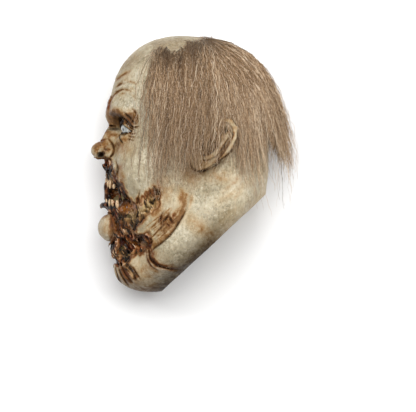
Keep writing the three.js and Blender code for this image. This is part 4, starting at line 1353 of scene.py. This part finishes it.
# ---- eyes ---------------------------------------------------------------
def eye_mesh(side):
    rows, cols = 40, 48
    end = math.acos(-4.0 / EYE_R)
    V = []
    for i in range(1, rows + 1):
        a = end * i / rows
        r = EYE_R + 0.5 * math.exp(-(a / 0.42) ** 2)
        for j in range(cols):
            b = 2 * math.pi * j / cols
            V.append((-r * math.cos(a), r * math.sin(a) * math.cos(b), r * math.sin(a) * math.sin(b)))
    V.append((-EYE_R - 0.5, 0, 0))
    V.append((4.0, 0, 0))
    V = np.array(V)
    quads = []
    for i in range(rows - 1):
        for j in range(cols):
            k = (j + 1) % cols
            quads.append((i * cols + j, (i + 1) * cols + j, (i + 1) * cols + k, i * cols + k))
    tip, back = rows * cols, rows * cols + 1
    tris = [(tip, j, (j + 1) % cols) for j in range(cols)]
    e = (rows - 1) * cols
    tris += [(back, e + (j + 1) % cols, e + j) for j in range(cols)]
    # the ball looks a little outwards and down
    a = math.radians(33)
    C = np.array([-math.cos(a), -0.16, math.sin(a)])
    C /= np.linalg.norm(C)
    W = V.copy()
    W[:, 2] *= side
    ang = np.degrees(np.arccos(np.clip((V / np.linalg.norm(V, axis=1)[:, None]) @ C, -1, 1)))
    if side < 0:
        quads = [q[::-1] for q in quads]
        tris = [t[::-1] for t in tris]
    me = new_mesh("eye", W + EYE * np.array([1, 1, side]), quads, tris)
    colour_layer(me, 'eye', np.stack([step(30, 25, ang) * (0.55 + 0.45 * step(16, 26, ang)), step(11, 8, ang), step(28, 52, ang)], 1))
    return me


add_object("eyeball_left", eye_mesh(1), "left_eye", EYEBALL)
add_object("eyeball_right", eye_mesh(-1), "right_eye", EYEBALL)


# ---- teeth ----------------------------------------------------------------
def tooth(at, size, tilt, yaw, rng, up):
    """one worn tooth: (u, v, w) of its root, half sizes, leaning"""
    rows, cols = 14, 14
    V = []
    chip = rng.uniform(-0.2, 0.2, 3)
    for i in range(rows + 1):
        t = i / rows
        a = math.pi * t
        y = -math.cos(a)                                     # -1 tip .. 1 root
        taper = (1 - 0.22 * max(0, y)) * (0.86 + 0.14 * math.cos(y * 1.4))
        r = max(math.sin(a), 0) ** 0.5
        for j in range(cols):
            b = 2 * math.pi * j / cols
            c, s = math.cos(b), math.sin(b)
            sq = (abs(c) ** 3 + abs(s) ** 3) ** (-1 / 3)
            wob = 1 + 0.07 * math.sin(3 * b + chip[0] * 20) + 0.05 * math.sin(5 * y + b)
            V.append((c * sq * r * taper * wob * size[0], y * size[1] + (chip[1] * 2 * c * size[1] * 0.4 if y < -0.5 else 0), s * sq * r * taper * wob * size[2]))
    V = np.array(V)
    if not up:
        V[:, 1] *= -1
    along = 1 - (np.arange(rows + 1) / rows).repeat(cols)
    A = turn(tilt).T
    V = V @ A.T
    cy, sy = math.cos(yaw), math.sin(yaw)
    V = np.stack([V[:, 0] * cy - V[:, 2] * sy, V[:, 1], V[:, 0] * sy + V[:, 2] * cy], 1)
    V = V + np.array(at)
    quads = []
    for i in range(rows):
        for j in range(cols):
            k = (j + 1) % cols
            q = (i * cols + j, i * cols + k, (i + 1) * cols + k, (i + 1) * cols + j)
            quads.append(q if up else q[::-1])
    return V, quads, along


rng = np.random.default_rng(5)
TV, TQ, TA = [], [], []
ROWS = (                                                    # degrees round the arch, height, half height, half width
    (True, 20.8, 32.5, ((59, -45.6, 2.9, 1.6), (44, -42.2, 5.6, 1.5), (30, -41.4, 4.4, 1.4), (12, -40.4, 4.6, 1.6), (-4, -42, 5.2, 1.7),
                        (-21, -41, 4.6, 1.5), (-36, -43, 5.4, 1.6), (-62, -41, 4.8, 1.6))),
    (False, 21.0, 32.0, ((73, -68.2, 4.6, 2.1), (55, -66.6, 4.0, 1.6), (39.5, -66.4, 4.2, 1.45), (22, -65.8, 4.4, 1.5), (6, -67, 4.6, 1.6),
                         (-12, -66, 4.4, 1.6), (-44, -67.5, 4.4, 1.6), (-60, -66, 4.0, 1.5))),
)
for up, ru, rw, places in ROWS:
    for deg, mid, tall, broad in places:
        a = math.radians(deg + rng.uniform(-1, 1))
        u, w = -84 - ru * math.cos(a), rw * math.sin(a)
        v = mid + rng.uniform(-0.4, 0.4)
        size = (1.5 + rng.uniform(-0.1, 0.2), tall * 1.12, broad * 1.06 + rng.uniform(-0.1, 0.1))
        yaw = math.atan2(rw * math.sin(a) / rw ** 2, math.cos(a) / ru)
        V, F, A = tooth((u, v, w), size, rng.uniform(-9, 9), yaw, rng, up)
        n0 = sum(len(x) for x in TV)
        TV.append(V)
        TQ.append(np.array(F) + n0)
        TA.append(A)
tooth_me = new_mesh("teeth", np.concatenate(TV), np.concatenate(TQ))
ta = np.concatenate(TA)
if len(ta) == len(tooth_me.vertices):
    colour_layer(tooth_me, 'tooth', np.stack([ta, ta, ta], 1))
add_object("teeth", tooth_me, None, TOOTH)


# ---- sinews over the torn flesh ---------------------------------------------
def outside(P):
    return form(P, parts=True)[0]


rng = np.random.default_rng(31)
x, y = PS[:, 0] / UNIT + 190, 150 - PS[:, 1] / UNIT
ok = np.nonzero((zones[:, 0] > 0.75) & (zones[:, 2] < 0.5) & (PS[:, 2] > -34) & (PS[:, 1] < -14)
                & ~((x < 124) & (y > 176) & (y < 208)))[0]
COUNT, STEPS = 150, 11
X = PS[rng.choice(ok, COUNT)].astype(f32)
bow = rng.normal(0, 0.5, COUNT)
head_to = rng.choice([1.0, -1.0], COUNT)
D0 = np.stack([0.45 + bow, -np.ones(COUNT), 0.25 * rng.normal(0, 1, COUNT)], 1) * head_to[:, None]
D0 /= np.linalg.norm(D0, axis=1)[:, None]
hop = rng.uniform(0.9, 1.9, COUNT)
trail = [X.copy()]
for k in range(STEPS):
    turnby = np.stack([noise(X, 9, 71), noise(X, 9, 72), noise(X, 9, 73)], 1) * 1.1
    V = D0 + turnby
    V /= np.linalg.norm(V, axis=1)[:, None]
    X = (X + V * hop[:, None]).astype(f32)
    for _ in range(2):
        d0 = outside(X)
        G = np.stack([outside(X + e) - d0 for e in (np.eye(3) * 0.5).astype(f32)], 1)
        size = np.linalg.norm(G, axis=1)[:, None] / 0.5 + 0.3
        G /= np.linalg.norm(G, axis=1)[:, None] + 1e-6
        X = X + (G * np.clip((-0.1 - d0)[:, None] / size, -1.5, 1.5)).astype(f32)
    trail.append(X.copy())
trail = np.stack(trail, 1).astype(np.float64)
off = tear_fields(trail.reshape(-1, 3).astype(f32))[2].reshape(COUNT, STEPS + 1)
fine = (off < 0.6).all(1) & ~((np.abs(trail[..., 0] / UNIT + 190 - 127) < 6) & (np.abs(150 - trail[..., 1] / UNIT - 208) < 6)).any(1)
trail, bow = trail[fine], bow[fine]
COUNT = len(trail)
print("sinews", COUNT)
s = np.linspace(0, 1, STEPS + 1)[None]
girth = rng.uniform(0.45, 1.05, (COUNT, 1)) * (0.3 + 0.7 * np.sin(math.pi * np.clip(s, 0.02, 0.98)) ** 0.7) * (1 + 0.22 * np.sin(9 * s + 40 * bow[:, None]))
V, quads, caps = tubes(trail, girth, 6)
sin_me = new_mesh("sinews", V, quads, caps)
sz = np.ones((len(sin_me.vertices), 3))
vx0, vy0 = V[:, 0] / UNIT + 190, 150 - V[:, 1] / UNIT
q = np.clip(((vx0 - 131) * 21 + (vy0 - 216) * -12) / 585.0, 0, 1)
colour_layer(sin_me, 'paint', np.stack([0.8 * np.exp(-(np.hypot(vx0 - 131 - 21 * q, vy0 - 216 + 12 * q) / 7.5) ** 2), 0 * q,
                                        0.7 * np.exp(-(np.hypot((vx0 - 140) / 12, (vy0 - 236.5) / 3.2)) ** 4)], 1))
colour_layer(sin_me, 'zones', sz * np.array([1, 0, 0]))
VP = V.astype(f32)
vx, vy = V[:, 0] / UNIT + 190, 150 - V[:, 1] / UNIT
tint = np.repeat(rng.uniform(0.22, 0.74, COUNT), (STEPS + 1) * 6)
colour_layer(sin_me, 'more', np.stack([0.5 * np.exp(-(np.hypot(vx - 127, vy - 207) / 7) ** 2), 0 * tint, tint], 1))
add_object("sinews", sin_me, None, SKIN)

# ---- hair -----------------------------------------------------------------
rng = np.random.default_rng(23)
x, y = PS[:, 0] / UNIT + 190, 150 - PS[:, 1] / UNIT
head = (zones[:, 2] < 0.5) & (NS[:, 2] * np.sign(PS[:, 2]) > -0.2)
ragged = 3.0 * noise(PS, 9, 45) + 5.0 * noise(PS, 2.5, 46)
x_in = x - 9 * np.exp(-(PS[:, 2] / 26) ** 2) * step(185, 200, x) + 4 * noise(PS, 6, 48)
in_zone = (y > hairline_y(x_in) + ragged) & (x > 152.5 + 1.5 * noise(PS, 5, 49)) & (y < np.minimum(62 + np.clip(x - 150, 0, 120) * 0.72, np.interp(x, [225, 255, 270], [132, 118, 108]))) & head & (PS[:, 2] > -66)
cand = np.nonzero(in_zone)[0]
depth = (y - hairline_y(x_in) - ragged)[cand]
fore = step(200, 182, x[cand])
weight = (0.35 + 1.3 * fore * np.exp(-depth / 9.0) + (1 - fore) * 0.9 * np.exp(-((depth - 14) / 11) ** 2) + 0.35 * step(225, 250, x[cand]))
weight *= (0.16 + 0.84 * step(148, 166, x[cand])) * (1 - (1 - fore) * 0.25 * step(9, 0, depth))
# even out by how densely the mesh is built there
area = np.zeros(len(PS))
skin_me.calc_loop_triangles()
tri = np.zeros(len(skin_me.loop_triangles) * 3, np.int32)
skin_me.loop_triangles.foreach_get("vertices", tri)
tri = tri.reshape(-1, 3)
ta = np.linalg.norm(np.cross(PS[tri[:, 1]] - PS[tri[:, 0]], PS[tri[:, 2]] - PS[tri[:, 0]]), axis=1) / 6
for k in range(3):
    area += np.bincount(tri[:, k], ta, len(PS))
weight = weight * area[cand]
weight /= weight.sum()

LOCKS = 640
STRANDS = 8200
lock_root = rng.choice(cand, LOCKS, p=weight)
root_i = rng.choice(cand, STRANDS, p=weight)
from_lock = np.zeros(STRANDS, int)
for s in range(0, STRANDS, 500):
    dd = ((PS[root_i[s:s + 500], None] - PS[lock_root][None]) ** 2).sum(-1)
    from_lock[s:s + 500] = dd.argmin(1)
STEPS = 16


def full(x, rng, n):
    """how much further the hair stands off the back of the head"""
    stray = (rng.uniform(0, 1, n) < 0.06) * rng.uniform(2, 9, n) * np.interp(x, [190, 235], [0.2, 1.0])
    return np.interp(x, [205, 235, 258], [0, 3.5, 4.5]) * rng.uniform(0, 1, n) ** 1.5 + stray


lock_path = strands(form, rng, PS[lock_root], NS[lock_root], STEPS, np.full(LOCKS, 235.0), rng.uniform(1.5, 6.0, LOCKS) + full(x[lock_root], rng, LOCKS), 0.07)
own = strands(form, rng, PS[root_i], NS[root_i], STEPS, np.full(STRANDS, 235.0), rng.uniform(0.8, 7.0, STRANDS) + full(x[root_i], rng, STRANDS), 0.12)
t = np.linspace(0, 1, STEPS + 1)
gather = (0.46 * step(0.05, 0.4, t) * (1 - 0.3 * step(0.6, 1.0, t)))[None, :, None] * rng.uniform(0.2, 1.2, (STRANDS, 1, 1))
lk = lock_path[from_lock]
close = np.exp(-(np.linalg.norm(own[:, :1] - lk[:, :1], axis=2) / 14) ** 2)[..., None]
path = own + (lk + (own[:, :1] - lk[:, :1]) * 0.3 - own) * np.clip(gather, 0, 0.9) * close
# where each one ends, by the height of its tip on the side elevation
px, py = path[..., 0] / UNIT + 190, 150 - path[..., 1] / UNIT
mid = px[np.arange(STRANDS), np.argmin(np.abs(py - 128), axis=1)]
AT = [140, 152, 165, 185, 194, 202, 212, 226, 236, 244, 256, 264, 273, 281, 289, 300]
lo = np.interp(mid, AT, [105, 108, 112, 112, 108, 104, 102, 102, 104, 110, 108, 106, 112, 118, 108, 90])
hi = np.interp(mid, AT, [202, 210, 212, 206, 201, 198, 196, 196, 200, 206, 200, 178, 182, 188, 194, 176])
pw = np.interp(mid, AT, [1.1, 1.2, 1.3, 1.4, 1.6, 1.9, 2.05, 2.05, 1.85, 1.65, 2.0, 1.8, 1.8, 2.5, 3.4, 3.6])
clump = rng.uniform(0, 1, LOCKS)[from_lock]
r = np.clip(0.78 * rng.uniform(0, 1, STRANDS) + 0.22 * clump, 0, 1)
tip = lo + (hi - lo) * r ** pw
longer = rng.uniform(0, 1, STRANDS) < 0.015 + 0.012 * step(196, 206, mid) * step(262, 250, mid)
tip = np.where(longer, tip + rng.uniform(15, 60, STRANDS), tip)
rag = rng.normal(0, 4.0, STRANDS) - np.abs(rng.normal(0, 8.0, STRANDS)) * step(268, 276, mid)
gap = np.where(px > 267.5, 138 + 2.05 * (px - 269) + rag[:, None], 999.0) - py       # the hair ends slanting, clear of the nape
gap[longer & (rng.uniform(0, 1, STRANDS) < 0.5)] = 999
cut = np.where((gap < 0).any(1), (gap < 0).argmax(1), 0)
hit = np.nonzero(cut > 0)[0]
g0, g1 = np.clip(gap[hit, cut[hit] - 1], 0, 30), -gap[hit, cut[hit]]
y0, y1 = py[hit, cut[hit] - 1], py[hit, cut[hit]]
tip[hit] = np.minimum(tip[hit], y0 + (y1 - y0) * g0 / (g0 + g1 + 1e-6))
tip = np.maximum(tip, py[:, 0] + 22)
tip[hit] = np.minimum(tip[hit], np.maximum(y0 + (y1 - y0) * g0 / (g0 + g1 + 1e-6), py[hit, 0] + 5))
past = py > tip[:, None]
k1 = np.where(past.any(1), past.argmax(1), STEPS)
k0 = np.maximum(k1 - 1, 0)
n = np.arange(STRANDS)
f = np.clip((tip - py[n, k0]) / (py[n, k1] - py[n, k0] + 1e-6), 0, 1)
t_end = np.clip(np.where(past.any(1), k0 + f, STEPS), 1.5, STEPS)
bare = (y - hairline_y(x_in) - ragged)[root_i]
short = rng.uniform(0, 1, STRANDS) < 0.55 * np.exp(-(bare / 8) ** 2) * step(172, 186, x[root_i]) + 0.6 * step(164, 152, x[root_i])
t_end = np.where(short, rng.uniform(0.2, 1.1, STRANDS), t_end)                       # stubble at the edge of the crown
S = Scalp(form)
U_FAR = 126.0                                               # the furthest back the hair reaches
lock_tone = rng.uniform(0.1, 0.8, LOCKS)
tone_s = np.clip(0.45 + 0.6 * (lock_tone[from_lock] - 0.45) + rng.normal(0, 0.2, STRANDS) + 0.14 * noise(PS[root_i], 30, 47) - 0.05 + 0.20 * step(205, 245, x[root_i]) * (y[root_i] > 60), 0, 1)
tone_s = np.clip(tone_s - 0.005 - 0.13 * np.exp(-(bare / 20) ** 2) + 0.12 * step(182, 156, x[root_i]), 0, 1)
# a few pale strands, made thicker, as painted highlights in the hair
tone_s = np.where((rng.uniform(0, 1, STRANDS) < 0.05) & ~short, rng.uniform(0.85, 1.0, STRANDS), tone_s)
grey_s = np.clip(rng.normal(0.2, 0.3, STRANDS), 0, 1)
arc = t_end / STEPS * 235.0
segs = np.clip((arc / 7.0).astype(int), 7, 26)
segs = np.array([8, 11, 14, 17, 21, 26])[np.searchsorted([8, 11, 14, 17, 21], np.minimum(segs, 26))]
made = {k: [] for k in range(4)}
count = 0
for sg in np.unique(segs):
    who = np.nonzero(segs == sg)[0]
    m = len(who)
    t = np.linspace(0, 1, sg + 1)
    p = along(path[who], t[None] * t_end[who, None])
    run = np.concatenate([np.zeros((m, 1)), np.cumsum(np.linalg.norm(np.diff(p, axis=1), axis=2), 1)], 1)
    T = np.gradient(p, axis=1)
    T /= np.linalg.norm(T, axis=2, keepdims=True) + 1e-9
    A = np.cross(T, np.array([0.2, 0.1, 0.97]))
    A /= np.linalg.norm(A, axis=2, keepdims=True) + 1e-9
    B = np.cross(T, A)
    rise = step(0.02, 0.2, t)[None]
    amp = rng.uniform(0.4, 1.5, (m, 1)) * rise
    wav = rng.uniform(19, 34, (m, 1))
    ph = rng.uniform(0, 6.28, (m, 1))
    p = p + A * (amp * np.sin(2 * math.pi * run / wav + ph))[..., None] + B * (0.6 * amp * np.cos(2 * math.pi * run / (wav * 1.23) + 2 * ph))[..., None]
    p = p + (A * rng.normal(0, 0.75, (m, sg + 1, 1)) + B * rng.normal(0, 0.45, (m, sg + 1, 1))) * rise[..., None]
    wide = rng.normal(0, 1, (m, 2))
    p = p + A * (t[None] ** 1.6 * 4.0 * wide[:, :1])[..., None] + B * (t[None] ** 1.6 * 2.0 * wide[:, 1:])[..., None]
    flat = p.reshape(-1, 3).astype(f32)
    need = np.tile(0.5 * step(0.0, 0.06, t), m)
    for _ in range(2):
        d, G = S.grad(flat)
        flat = flat + G * np.clip(need - d, 0, 6)[:, None]
        flat[:, 2] = np.maximum(flat[:, 2], -REST_W + 0.7)
    d, _ = S.grad(flat)
    over = np.clip(flat[:, 0] - U_FAR, 0, None)
    flat[:, 0] -= over - 13 * (1 - np.exp(-over / 13))
    p = flat.reshape(m, sg + 1, 3).astype(np.float64)
    good = ~(d.reshape(m, -1)[:, 2:] < -0.6).any(1)
    p[:, 0] = PS[root_i[who]] - NS[root_i[who]] * 0.3
    thick = rng.uniform(0.15, 0.30, (m, 1)) * (1 - 0.6 * t[None] ** 2) * np.where(tone_s[who] > 0.84, 1.15, 1.0)[:, None]
    for q in range(4):
        mine = np.nonzero(good & (who % 4 == q))[0]
        if not len(mine):
            continue
        V, quads, caps = tubes(p[mine], thick[mine])
        m3 = (sg + 1) * 3
        tones = np.stack([np.repeat(tone_s[who[mine]], m3), np.tile(np.repeat(step(0.30, 0.0, t), 3), len(mine)),
                          np.repeat(grey_s[who[mine]], m3)], 1)
        made[q].append((V, quads, caps, tones))
        count += len(mine)
print("strands", count)
for q in range(4):
    VV, QQ, CC, TT, n0 = [], [], [], [], 0
    for V, quads, caps, tones in made[q]:
        VV.append(V)
        QQ.append(quads + n0)
        CC.append(caps + n0)
        TT.append(tones)
        n0 += len(V)
    me = new_mesh("hair_%d" % q, np.concatenate(VV), np.concatenate(QQ), np.concatenate(CC))
    print(me.name, sum(len(f.vertices) - 2 for f in me.polygons))
    TT = np.concatenate(TT)
    if len(TT) == len(me.vertices):
        colour_layer(me, 'strand', TT)
    add_object("hair_%d" % q, me, "hair", HAIR)

# ---- floor, light and camera --------------------------------------------
bpy.ops.mesh.primitive_plane_add(size=30, location=(0, 0, 0))
floor = bpy.context.object
floor.name = "floor"
fm = Nodes("pale_floor")
fm.link(fm.ramp(fm.noise(3, 2), [(0.3, (0.90, 0.90, 0.90, 1)), (0.7, (0.93, 0.93, 0.93, 1))]), fm.bsdf.inputs['Base Color'])
fm.bsdf.inputs['Roughness'].default_value = 0.9
fm.bsdf.inputs['Specular IOR Level'].default_value = 0.1
floor.data.materials.append(fm.mat)

world = bpy.data.worlds.new("studio")
bpy.context.scene.world = world
world.use_nodes = True
world.node_tree.nodes['Background'].inputs[0].default_value = (1, 1, 1, 1)
world.node_tree.nodes['Background'].inputs[1].default_value = 0.24


def lamp(name, at, size, power, aim=(0, 0, 0.08)):
    li = bpy.data.lights.new(name, 'AREA')
    li.shape = 'SQUARE'
    li.size = size
    li.energy = power
    ob = bpy.data.objects.new(name, li)
    bpy.context.scene.collection.objects.link(ob)
    ob.location = at
    d = np.array(aim) - np.array(at)
    from mathutils import Vector
    ob.rotation_euler = Vector(d).to_track_quat('-Z', 'Y').to_euler()
    return ob


lamp("key", (-0.70, -0.12, 2.25), 1.4, 56)
lamp("back", (-0.40, 1.2, 2.0), 1.2, 25)
lamp("glint", (-0.55, -1.0, 2.0), 0.28, 6)

cam = bpy.data.cameras.new("camera")
cam_ob = bpy.data.objects.new("camera", cam)
bpy.context.scene.collection.objects.link(cam_ob)
middle = place(np.array([(208 - 190) * UNIT, (150 - 206) * UNIT, 0.0]))
cam_ob.location = (middle[0], middle[1], middle[2] + 5.0)
cam_ob.rotation_euler = (0, 0, math.pi / 2)
cam.sensor_width = 36
cam.lens = 36 * 5.0 / (416 * UNIT / 1000)
cam.clip_end = 100
bpy.context.scene.camera = cam_ob
bpy.context.scene.view_settings.view_transform = 'Standard'
bpy.context.scene.view_settings.exposure = 0.0
